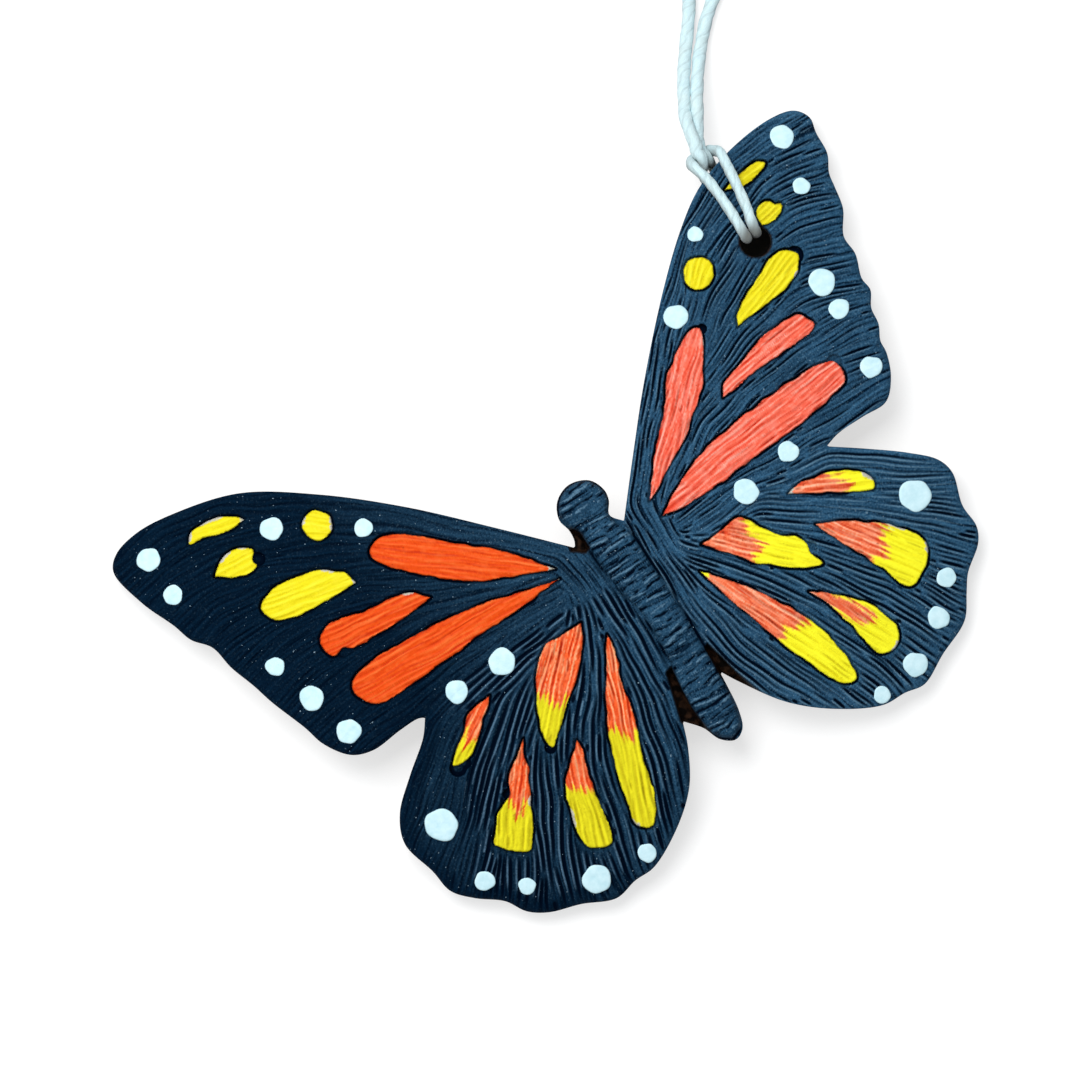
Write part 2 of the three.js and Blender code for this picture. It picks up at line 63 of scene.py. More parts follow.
def new_object(name, data):
    """An object in the scene, from its mesh, lamp or camera."""
    obj = bpy.data.objects.new(name, data)
    bpy.context.scene.collection.objects.link(obj)
    return obj


# Camera: straight down, turned so that the head points to the upper right as in the photograph
VIEW_CENTRE = (-6.61, -0.76, 7.0)
VIEW_WIDTH = 129.6
VIEW_DISTANCE = 2500
VIEW_TURN = math.radians(-32.58)

lens = bpy.data.cameras.new("camera")
lens.sensor_width = 36
lens.lens = lens.sensor_width * VIEW_DISTANCE / VIEW_WIDTH
lens.clip_end = 10
camera = new_object("camera", lens)
camera.location = Vector(place(VIEW_CENTRE)) + Vector((0, 0, VIEW_DISTANCE * MM))
camera.rotation_euler = (0, 0, VIEW_TURN)
bpy.context.scene.camera = camera


class Look:
    """A node material on the Principled shader, measured in millimetres."""

    def __init__(self, name):
        self.material = bpy.data.materials.new(name)
        self.material.use_nodes = True
        self.tree = self.material.node_tree
        self.shader = self.tree.nodes["Principled BSDF"]
        where = self.add("TexCoord").outputs["Object"]
        self.where = self.vector_math("SCALE", where, scale=1 / MM)

    def add(self, kind):
        return self.tree.nodes.new(f"ShaderNode{kind}")

    def feed(self, socket, value):
        if isinstance(value, bpy.types.NodeSocket):
            self.tree.links.new(value, socket)
        else:
            socket.default_value = value

    def vector_math(self, operation, a, b=None, scale=None):
        node = self.add("VectorMath")
        node.operation = operation
        self.feed(node.inputs[0], a)
        if b is not None:
            self.feed(node.inputs[1], b)
        if scale is not None:
            node.inputs["Scale"].default_value = scale
        return node.outputs["Value" if operation == "DISTANCE" else "Vector"]

    def math(self, operation, a, b):
        node = self.add("Math")
        node.operation = operation
        node.use_clamp = True
        self.feed(node.inputs[0], a)
        self.feed(node.inputs[1], b)
        return node.outputs[0]

    def painted(self, name, kind="Fac"):
        """The number, or the vector, that the mesh's points carry by this name."""
        node = self.add("Attribute")
        node.attribute_name = name
        return node.outputs[kind]

    def noise(self, size, detail=2.0, where=None, stretch=None):
        """Noise whose bumps are about size millimetres across, from 0 to 1."""
        where = where or self.where
        if stretch:
            where = self.vector_math("MULTIPLY", where, stretch)
        node = self.add("TexNoise")
        self.feed(node.inputs["Vector"], where)
        node.inputs["Scale"].default_value = 1 / size
        node.inputs["Detail"].default_value = detail
        return node.outputs[0]

    def ramp(self, value, low, high, start=0.0, end=1.0):
        node = self.add("MapRange")
        self.feed(node.inputs[0], value)
        for socket, number in zip(node.inputs[1:5], (low, high, start, end)):
            socket.default_value = number
        return node.outputs[0]

    def mix(self, share, a, b, blend="MIX"):
        node = self.add("Mix")
        node.data_type = "RGBA"
        node.blend_type = blend
        self.feed(node.inputs[0], share)
        self.feed(node.inputs[6], a)
        self.feed(node.inputs[7], b)
        return node.outputs[2]

    def lay(self, shade, over, value, *limits):
        """A shade with another one over it, as far as a value has come between its limits."""
        return self.mix(self.ramp(value, *limits), shade, colour(*over))

    def bump(self, height, depth, strength=1.0):
        node = self.add("Bump")
        node.inputs["Strength"].default_value = strength
        node.inputs["Distance"].default_value = depth * MM
        self.feed(node.inputs["Height"], height)
        self.feed(self.shader.inputs["Normal"], node.outputs[0])

    def surface(self, colour, roughness, specular):
        self.feed(self.shader.inputs["Base Color"], colour)
        self.feed(self.shader.inputs["Roughness"], roughness)
        self.shader.inputs["Specular IOR Level"].default_value = specular
        return self.material


def colour(red, green, blue):
    """Linear colour of a shade written as it looks on screen, 0 to 255."""
    def linear(value):
        value /= 255
        return value / 12.92 if value <= 0.04045 else ((value + 0.055) / 1.055) ** 2.4

    return (linear(red), linear(green), linear(blue), 1.0)


# Points drawn between two knots of a curve, and the sharpest fold that is still shaded smooth
CURVE_SAMPLES = 24
SMOOTH_UP_TO = math.radians(62)


def between(t, low, high, a, b):
    """Straight from a, where t is low, to b, where it is high."""
    return (high - t) / (high - low) * a + (t - low) / (high - low) * b


def smooth_path(points, spacing):
    """Centripetal Catmull-Rom curve through the points, as points an even distance apart."""
    knots = np.array(points, float)
    ends = np.vstack([2 * knots[0] - knots[1], knots, 2 * knots[-1] - knots[-2]])
    spans = []
    for p0, p1, p2, p3 in zip(ends, ends[1:], ends[2:], ends[3:]):
        t1 = np.linalg.norm(p1 - p0) ** 0.5
        t2 = t1 + np.linalg.norm(p2 - p1) ** 0.5
        t3 = t2 + np.linalg.norm(p3 - p2) ** 0.5
        t = np.linspace(t1, t2, CURVE_SAMPLES, endpoint=False)[:, None]
        a1 = between(t, 0, t1, p0, p1)
        a2 = between(t, t1, t2, p1, p2)
        a3 = between(t, t2, t3, p2, p3)
        b1 = between(t, 0, t2, a1, a2)
        b2 = between(t, t1, t3, a2, a3)
        spans.append(between(t, t1, t2, b1, b2))
    dense = np.vstack(spans + [knots[-1:]])
    run = np.concatenate([[0], np.cumsum(np.linalg.norm(np.diff(dense, axis=0), axis=1))])
    even = np.linspace(0, run[-1], max(2, round(run[-1] / spacing) + 1))
    return np.stack([np.interp(even, run, values) for values in dense.T], 1)


def mesh_object(name, points, faces, materials, material_of_face=None, **attributes):
    """A smooth mesh in the frame from drawing points, with a number or vector per point by name."""
    mesh = bpy.data.meshes.new(name)
    mesh.from_pydata(place(points).tolist(), [], faces)
    for material in materials:
        mesh.materials.append(material)
    if material_of_face is not None:
        mesh.polygons.foreach_set("material_index", np.asarray(material_of_face, np.int32))
    for key, values in attributes.items():
        values = np.asarray(values, np.float32)
        kind, field = ("FLOAT", "value") if values.ndim == 1 else ("FLOAT_VECTOR", "vector")
        mesh.attributes.new(key, kind, "POINT").data.foreach_set(field, values.ravel())
    mesh.polygons.foreach_set("use_smooth", np.ones(len(mesh.polygons), bool))
    mesh.set_sharp_from_angle(angle=SMOOTH_UP_TO)
    mesh.update()
    return new_object(name, mesh)


# Cord. One length of twine: from the knot's left tail along the loop, round the hitch and back to the knot
CORD_DIAMETER = 1.6
CORD_PLIES = 3
PLY_PITCH = 5.6
PLY_VALLEY = 0.09
PLY_ROUNDNESS = 0.7
FIBRE_STRETCH = 0.16
# The two legs are pulled thin between the hole and the knot of the hitch: by how much, and where in Y
TAUT_THINNING = 0.18
TAUT_BELOW = (28.2, 26.8)
# The cord is darkened near the hole by soil and painted shade, and in the hitch by painted shade
# on the sides that face away from this heading
SOIL_AND_SHADE_WITHIN = (3.4, 1.1)
SHADED_AWAY_FROM = np.array([0.6, 0.15, 0.78])
SHADED_SIDES = (0.72, -0.35)
SHADED_BELOW = (28.6, 27.2)
SIDE_SHADE_SHARE = 0.6
CORD_OFF_TABLE = 0.01
CORD_SIDES = 24
CORD_STEP = 0.22

HOLE_CENTRE = (34.45, 15.5)
HOLE_RADIUS = 1.85

HITCH_ROUTE = [
    [34.36, 28.34, 7.5], [34.42, 27.6, 7.52], [34.3, 26.95, 7.27], [33.93, 26.38, 6.4], [33.68, 26.12, 5.2],
    [33.58, 26.02, 4], [33.5, 25.6, 3.05], [33.4, 23.5, 2.7], [33.5, 20.8, 2.75], [33.7, 18.7, 3.05],
    [33.77, 17.35, 3.45], [33.78, 16.62, 4.05], [33.78, 16.42, 4.95], [33.78, 16.38, 6.2],
    [33.78, 16.38, 7.5], [33.78, 16.41, 8.6], [33.78, 16.5, 9.42], [33.78, 17.1, 9.86], [33.8, 18.2, 9.84],
    [33.85, 20.5, 9.54],
    [33.74, 23, 9.22], [33.5, 25.2, 8.98], [33.2, 26.3, 8.72], [33.02, 26.98, 8.1], [33, 27.34, 7],
    [33.15, 27.64, 5.75], [33.7, 27.79, 4.75], [34.6, 27.84, 4.36], [35.5, 27.74, 4.48], [36.2, 27.38, 5.25],
    [36.54, 27.02, 6.4], [36.64, 26.66, 7.45], [36.56, 25.8, 7.98], [36.4, 24.3, 8.28], [36.05, 21.5, 8.74],
    [35.62, 19, 9.2], [35.32, 17.9, 9.46], [35.17, 17.1, 9.48], [35.12, 16.54, 9.06], [35.12, 16.4, 8.2],
    [35.12, 16.38, 7], [35.12, 16.38, 5.6], [35.12, 16.4, 4.5], [35.12, 16.58, 3.65], [35.12, 17.35, 3.05],
    [35.15, 18.8, 2.8], [35.1, 20.8, 2.6], [35.05, 23.5, 2.35], [35.02, 25.5, 2.4], [35, 26.22, 2.85],
    [35, 26.42, 3.7], [35, 26.55, 4.9], [35.03, 26.85, 5.75], [34.98, 27.4, 6.1], [34.79, 28.14, 6.03],
]
NECK_ROUTES = {
    "left": [[34.6, 29.1, 7.45], [35.05, 31.32, 6.6], [35.65, 33.09, 5.2]],
    "right": [[35.03, 29.07, 5.98], [35.3, 29.8, 5.85], [36.1, 31, 5.4], [36.94, 32.33, 5.15]],
}
LOOP_ROUTES = {
    "left": [
        [36.06, 33.78, 5], [37.33, 35.93, 3.6], [38.82, 38.11, 2.1], [40.5, 40.28, 1], [42.4, 42.74, 0.8],
        [45.3, 47.1, 0.8], [48.6, 52, 0.8], [52.6, 56.8, 0.8], [56.5, 61.1, 1.3], [58.07, 63.06, 2.2],
    ],
    "right": [
        [37.35, 33.02, 5], [38.67, 35.07, 3.6], [40.18, 37.09, 2.1], [41.9, 39.12, 1], [44, 41.26, 0.8],
        [48.1, 44.6, 0.8], [52.6, 48.8, 0.8], [56.4, 54.3, 0.8], [58.7, 59.85, 1.3], [59.51, 62.36, 2.2],
    ],
}
# Where the cord's hitch ends and its loop strands begin, half way along the neck
NECK_MIDDLES = {"left": [35.05, 31.32, 6.6], "right": [36.1, 31, 5.4]}
# Where the cord turns at each hinge, its heading there, and how far before and after the pivot it bends
SWAY_PIVOT = np.array([34.6, 29.1, 6.69])
SWAY_HEADING = np.array([0.3, 0.954, 0])
SWAY_SPAN = (0.3, 2.0)
LIFT_PIVOT = np.array([36.7, 33.4, 5.0])
LIFT_HEADING = np.array([0.507, 0.862, 0])
LIFT_SPAN = (1.6, 2.5)

# The knot, drawn along its own heading: distance along it, radius from its axis and turns about the axis
KNOT_CENTRE = np.array([60.06, 65.24, 2.2])
KNOT_HEADING = np.array([0.45, 0.893, 0])
KNOT_WRAP = [
    [-1.7, 0.85, 0], [-0.4, 1.2, 0.16], [0.8, 1.38, 0.4], [1.15, 1.4, 0.65], [0.6, 1.4, 0.9],
    [-0.3, 1.4, 1.15], [-0.9, 1.3, 1.38], [-0.8, 0.75, 1.6], [0.6, 0.6, 1.62], [2, 0.75, 1.55],
]
# Tails: distance along the heading, to the side and up from the table
KNOT_TAIL = [[3.4, 0.85, 1.5], [4.7, 1.15, 0.95], [6.2, 1.75, 0.82], [7.6, 2.6, 0.82]]


def knot_route(hand):
    """One strand's way through the knot and out into its tail. The two strands are half a turn apart."""
    sign = {"left": 1, "right": -1}[hand]
    heading = KNOT_HEADING / np.linalg.norm(KNOT_HEADING)
    side = np.array([-heading[1], heading[0], 0])
    up = np.array([0, 0, 1.0])
    route = []
    for along, radius, turns in KNOT_WRAP:
        angle = 2 * math.pi * turns
        across = sign * radius * (math.cos(angle) * side + math.sin(angle) * up)
        route.append(KNOT_CENTRE + along * heading + across)
    last_side = sign * math.copysign(1, math.cos(2 * math.pi * KNOT_WRAP[-1][2]))
    for along, across, height in KNOT_TAIL:
        point = KNOT_CENTRE + along * heading + last_side * across * side
        point[2] = height
        route.append(point)
    return np.array(route)


def whole_cord():
    """Even points along the whole cord, and where the hitch begins and ends among them."""
    strands = {h: np.vstack([NECK_ROUTES[h], LOOP_ROUTES[h], knot_route(h)]) for h in ("left", "right")}
    knots = np.vstack([strands["left"][::-1], HITCH_ROUTE, strands["right"]])
    points = smooth_path(knots, CORD_STEP)
    cuts = [int(np.linalg.norm(points - NECK_MIDDLES[h], axis=1).argmin()) for h in ("left", "right")]
    return points, cuts


def headings_of(path):
    """Unit heading at each point of a path."""
    ahead = np.gradient(path, axis=0)
    return ahead / np.linalg.norm(ahead, axis=1)[:, None]


def along_path(points):
    """A square frame at each point that turns as little as it can along the path."""
    headings = headings_of(points)
    # Any direction does to start from, if the cord doesn't run along it
    across = np.cross(headings[0], [0.31, 0.2, 0.93])
    sides = []
    for heading in headings:
        across = across - heading * (across @ heading)
        across = across / np.linalg.norm(across)
        sides.append(across)
    sides = np.array(sides)
    return sides, np.cross(headings, sides)


def smoothstep(low, high, value):
    share = np.clip((value - low) / (high - low), 0, 1)
    return share * share * (3 - 2 * share)


def once_round(steps):
    """Angles spread evenly once round."""
    return np.linspace(0, 2 * math.pi, steps, endpoint=False)


def twine_points(points):
    """Rings of the twisted cord's surface, with each point's place in the untwisted cord for its fibres,
    how deep it lies between plies, and how much it is darkened: by soil and painted shade near the hole,
    and by painted shade on the hitch's sides that face away from a heading.
    """
    run = np.arange(len(points)) * np.linalg.norm(np.diff(points, axis=0), axis=1).mean()
    sides, ups = along_path(points)
    angle = once_round(CORD_SIDES)
    # The twist runs unevenly and the cord has thick and thin places, each by smooth waves along it
    wander = 0.5 * np.sin(0.9 * run) + 0.35 * np.sin(2.3 * run + 1)
    in_ply = angle[None, :] - 2 * math.pi * run[:, None] / PLY_PITCH - wander[:, None]
    lobe = np.abs(np.cos(0.5 * CORD_PLIES * in_ply)) ** PLY_ROUNDNESS
    slub = 1 + 0.035 * np.sin(run * 1.7 + 0.6 * np.sin(run * 0.43)) + 0.02 * np.sin(run * 4.1)
    pulled_thin = 1 - TAUT_THINNING * smoothstep(*TAUT_BELOW, points[:, 1])
    radius = 0.5 * CORD_DIAMETER * (1 - PLY_VALLEY * (1 - lobe)) * (slub * pulled_thin)[:, None]
    outward = np.cos(angle)[:, None] * sides[:, None, :] + np.sin(angle)[:, None] * ups[:, None, :]
    rings = points[:, None, :] + radius[:, :, None] * outward
    rings[:, :, 2] = np.maximum(rings[:, :, 2], CORD_OFF_TABLE)
    along = np.broadcast_to(FIBRE_STRETCH * run[:, None], radius.shape)
    fibre = np.stack([radius * np.cos(in_ply), radius * np.sin(in_ply), along], -1)
    # Painted shade and soil near the hole, and painted shade on the hitch's sides away from a heading
    from_hole = np.hypot(rings[:, :, 0] - HOLE_CENTRE[0], rings[:, :, 1] - HOLE_CENTRE[1])
    side_shade = smoothstep(*SHADED_SIDES, outward @ SHADED_AWAY_FROM)
    side_shade *= smoothstep(*SHADED_BELOW, rings[:, :, 1])
    soil = np.maximum(smoothstep(*SOIL_AND_SHADE_WITHIN, from_hole), SIDE_SHADE_SHARE * side_shade)
    return rings, fibre, 1 - lobe, soil


def tube_faces(count, sides):
    """Faces of a closed tube of rings."""
    faces = []
    for ring in range(count - 1):
        for i in range(sides):
            j = (i + 1) % sides
            here = ring * sides
            there = here + sides
            faces.append((here + i, here + j, there + j, there + i))
    faces.append(tuple(range(sides))[::-1])
    faces.append(tuple((count - 1) * sides + i for i in range(sides)))
    return faces


def cotton():
    """White cotton: fine fibres along each ply, and painted shade in the valleys between plies."""
    look = Look("cotton_cord")
    fine = look.noise(0.07, 3, look.painted("fibre", "Vector"))
    shade = look.lay(colour(192, 220, 225), (218, 243, 248), fine, 0.3, 0.7)
    shade = look.lay(shade, (208, 214, 204), look.noise(2.2), 0.45, 0.8, 0, 0.3)
    # Painted shade in the valleys between plies
    shade = look.lay(shade, (140, 156, 158), look.painted("valley"), 0.35, 1, 0, 0.4)
    # Painted shade darkens the cord, with soil near the hole
    shade = look.lay(shade, (92, 86, 78), look.painted("soil"), 0, 1, 0, 0.85)
    look.bump(fine, 0.07)
    look.shader.inputs["Sheen Weight"].default_value = 0.25
    look.shader.inputs["Sheen Roughness"].default_value = 0.6
    return look.surface(shade, look.ramp(fine, 0, 1, 0.8, 0.95), 0.2)


cord_points, (hitch_start, hitch_end) = whole_cord()
cord_rings, cord_fibres, cord_valleys, cord_soil = twine_points(cord_points)
cotton_look = cotton()


def cord_piece(name, first, last):
    """The stretch of the cord between two of its points."""
    stretch = slice(first, last + 1)
    return mesh_object(
        name,
        cord_rings[stretch].reshape(-1, 3),
        tube_faces(last + 1 - first, CORD_SIDES),
        [cotton_look],
        fibre=cord_fibres[stretch].reshape(-1, 3),
        valley=cord_valleys[stretch].ravel(),
        soil=cord_soil[stretch].ravel(),
    )


def bend(piece, body, next_body, pivot, heading, before, after):
    """Bake a piece of cord's place in the frame into its mesh."""
    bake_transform(piece)


hitch = cord_piece("cord_hitch_twine", hitch_start, hitch_end)
bend(hitch, "ornament", "cord_neck", SWAY_PIVOT, SWAY_HEADING, *SWAY_SPAN)
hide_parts("cord_hitch")

for hand, first, last in (("left", 0, hitch_start), ("right", hitch_end, len(cord_points) - 1)):
    strand = cord_piece(f"cord_loop_{hand}_twine", first, last)
    bend(strand, "cord_neck", "hanging_loop", LIFT_PIVOT, LIFT_HEADING, *LIFT_SPAN)
    replaced = [f"cord_neck_{hand}", f"cord_loop_{hand}"]
    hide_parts(*replaced, *(["cord_knot"] if hand == "left" else []))


# The gourd that the butterfly is cut from
DOME_RADIUS = 140
WALL = 4
CROWN = (-1.6, 5.7)
CROWN_HEIGHT = 13.98

# Carving and paint
BODY_RISE = 0.9
BODY_STEP = 0.1
BODY_ROUNDING = 2.4
LEDGE_DEPTH = 2.2
POCKET_DEPTH = 0.75
POCKET_GAP = 0.22
# The cut along the foot of the body and the lip round each pocket: how far out, how wide and how high
BODY_FOOT = (0.2, 0.3, -0.6)
POCKET_LIP = (0.5, 0.22, 0.08)
# Wear of the piece's edge and of the hole's: how wide and how deep
EDGE_WEAR = (0.7, 0.5)
HOLE_WEAR = (0.6, 0.35)
UNEVEN_HEIGHT = 0.06
GRAIN_HEIGHT = 0.01
RIPPLE_HEIGHT = 0.04
SEGMENT_LENGTH = 1.15
# Paint in the cells: how far below the skin it lies, its thickness at the rim as a share of the middle's, the
# width over which it rounds off, the heights of its brush streaks, strokes and lips, and how far it is sunk
# into the pocket's floor
FILM_DROP = 0.26
FILM_RIM_SHARE = 0.25
FILM_ROUNDING = 0.2
FILM_STREAK = 0.02
FILM_STROKE = 0.24
FILM_LIP = 0.1
FILM_SUNK = 0.1
# The painted shade along the paint's rim, beside the pocket wall: its width and how much that varies.
# And the widest strip of pale gourd beside it.
RIM_WIDTH = 0.17
RIM_VARIES = 0.1
BARE_WIDTH = 0.34
# White dabs: height, waves round the rim as number and size, profile from the middle out as shares of radius
# and height, points round the rim, and height of the brush streaks
DAB_HEIGHT = 0.24
DAB_WAVES = ((2, 0.04), (3, 0.045), (5, 0.03), (7, 0.014))
DAB_PROFILE = ((0.2, 1.0), (0.42, 1.0), (0.64, 0.98), (0.82, 0.94), (0.93, 0.84), (0.985, 0.55), (1.0, -0.6))
DAB_STEPS = 40
DAB_STREAK = 0.012

# Where the hindwings begin, in Y
HINDWINGS_BELOW = -9.6

# Knife strokes: how far apart, their lengths, width and boldness, and the seed of their places
STROKES = {
    "forewings": (0.56, (4, 16), 0.16, (0.32, 1.0), 11),
    "left_hindwing": (0.66, (8, 28), 0.25, (0.65, 1.0), 14),
    "right_hindwing": (0.58, (6, 26), 0.2, (0.45, 1.0), 15),
    "cells": (0.62, (3, 12), 0.16, (0.45, 1.0), 13),
}
STROKE_DEPTH = 0.38
# A stroke's step in grid spacings, how near it comes to others as a share of how far apart they start, and
# the fewest points that make one
STROKE_STEP = 0.8
STROKE_CLOSEST = 0.6
STROKE_FEWEST = 4
# A lip's distance from its stroke and its width, as shares of the stroke's width, and its height
LIP_OFFSET = 1.45
LIP_WIDTH = 0.75
LIP_HEIGHT = 0.12
# How far strokes waver from their direction on the wings and on the body, in radians
WING_WAVER = 0.05
BODY_WAVER = 0.12
# The side of each stroke on which the tool throws up its lip
LIP_SIDE = (-0.69, -0.72)
# How far a knife strays from a cell's outline, and how many rounds smooth that. Sharp tips are told from
# this many points on each side.
HAND_WOBBLE = 0.16
WOBBLE_ROUNDS = 5
TIP_REACH = 5
CELL_SEED = 300

# Fineness of the meshes
SHELL_SPACING = 0.14
FILM_SPACING = 0.12
# How far distances are measured from an outline, and from the many small ones
REACH = 3.0
SMALL_REACH = 1.5
# Points within this many grid spacings of an outline move onto it, and faces under this many squares go
RIM_REACH = 0.52
LEAST_FACE = 0.06
# Triangles of an underside: only those inside its outline, with points this near each other merged
INSIDE_ONLY = 1
MERGED_WITHIN = 1e-7

# Outline of the piece as smooth runs, each from corner to corner, anticlockwise from the left of the neck
OUTLINE_RUNS = [
    # left forewing: leading edge, tip, scalloped margin and lower corner
    [[-3.6, -3.8], [-10, 3], [-18, 11.2], [-26, 18.1], [-34, 23.4], [-42, 25.6], [-47, 26.05],
     [-50.5, 25.2], [-51.9, 23.6], [-51, 18.6], [-49.2, 14.2], [-48.4, 11.7], [-46.7, 9.5], [-46.1, 6.3],
     [-45, 3], [-44.2, 0.1], [-42.5, -4.6], [-41.7, -7.4], [-39.6, -10.3], [-37, -11.25], [-33, -10.95],
     [-30.4, -10.95], [-29.7, -11.3]],
    # left hindwing
    [[-29.7, -11.3], [-31.2, -13.2], [-35, -16.2], [-38.5, -19.4], [-39.95, -22.8], [-38.9, -27.4],
     [-38.4, -30.5], [-36.4, -32.8], [-33.5, -35.1], [-32, -37.5], [-29.8, -39.05], [-26, -40.3],
     [-22, -42], [-19, -41.4], [-16.2, -41.25], [-11, -38.5], [-7.4, -35.3], [-5, -31.2], [-3.9, -28.3]],
    # tail of the body
    [[-3.9, -28.3], [-2.2, -30.4], [-1.3, -32.5], [0.3, -33.6], [1.7, -32.9], [2.5, -30.8], [2.9, -27.5],
     [3.05, -25.6]],
    # right hindwing
    [[3.05, -25.6], [4.4, -28], [7.8, -33], [12, -36.7], [17.4, -39.65], [20.5, -39.85], [23, -40.25],
     [26.8, -38.4], [31.2, -36.4], [33.2, -33.7], [34.6, -31.8], [37.6, -29.4], [38.5, -27.6],
     [38.4, -24.6], [39.5, -20.6], [38.9, -18.4], [36.3, -15.75], [32.2, -12.55], [28.4, -9.8]],
    # right forewing: lower corner, scalloped margin, tip and leading edge
    [[28.4, -9.8], [30.4, -9.25], [34, -9.15], [37.3, -9.15], [39.4, -7], [40.55, -4.2], [40.7, -2.6],
     [41.6, -0.8], [41.9, 1.3], [43, 3.2], [42.85, 4.9], [43.8, 7.8], [43.75, 10.3], [45.5, 13.2],
     [46.05, 15.8], [46.4, 17.7], [47.5, 19.8], [47.7, 22.6], [48.05, 24.6], [46.9, 26.3], [44, 27],
     [38, 26.45], [32.3, 24.6], [28, 21.8], [22.1, 16.65], [14.2, 8.6], [8.2, 1.75], [3.1, -4.25]],
    # neck and head
    [[3.1, -4.25], [2, -2.7], [2.9, -1.2], [3.1, 0.2], [2.2, 2.1], [-0.2, 2.95], [-2.4, 2], [-3.4, 0],
     [-3.05, -1.7], [-3.2, -3.1], [-3.6, -3.8]],
]

# Body ridge: head, thorax and abdomen as one closed run
BODY_RUN = [
    [0, -33.2], [1.7, -32.4], [2.5, -30], [2.8, -26], [3, -21], [3.2, -16], [3, -10], [2.9, -6],
    [1.9, -2.7], [2.8, -1], [2.8, 0.6], [1.8, 2.2], [-0.2, 2.7], [-2.1, 1.9], [-3.1, 0], [-2.7, -1.5],
    [-2, -2.6], [-2.1, -6], [-1.8, -10.5], [-1, -15], [-1.1, -20], [-1.8, -24.5], [-2, -28.5],
    [-1.4, -31.8], [0, -33.2],
]

# Deep ledges where the gourd wall shows beside the neck and the tail
LEDGES = [
    [[-2.05, -1.9], [-3.6, -1.5], [-4.2, -3.9], [-2.8, -5], [-2.15, -4.7]],
    [[-1.6, -22.1], [-2.4, -22.3], [-3, -24.5], [-4.05, -28.2], [-3.6, -30.6], [-2, -31], [-2, -25]],
    [[3.55, -22], [3.1, -22.4], [2.95, -26.2], [4.2, -29], [5.7, -30.2], [4.7, -27], [4.2, -24.5]],
]

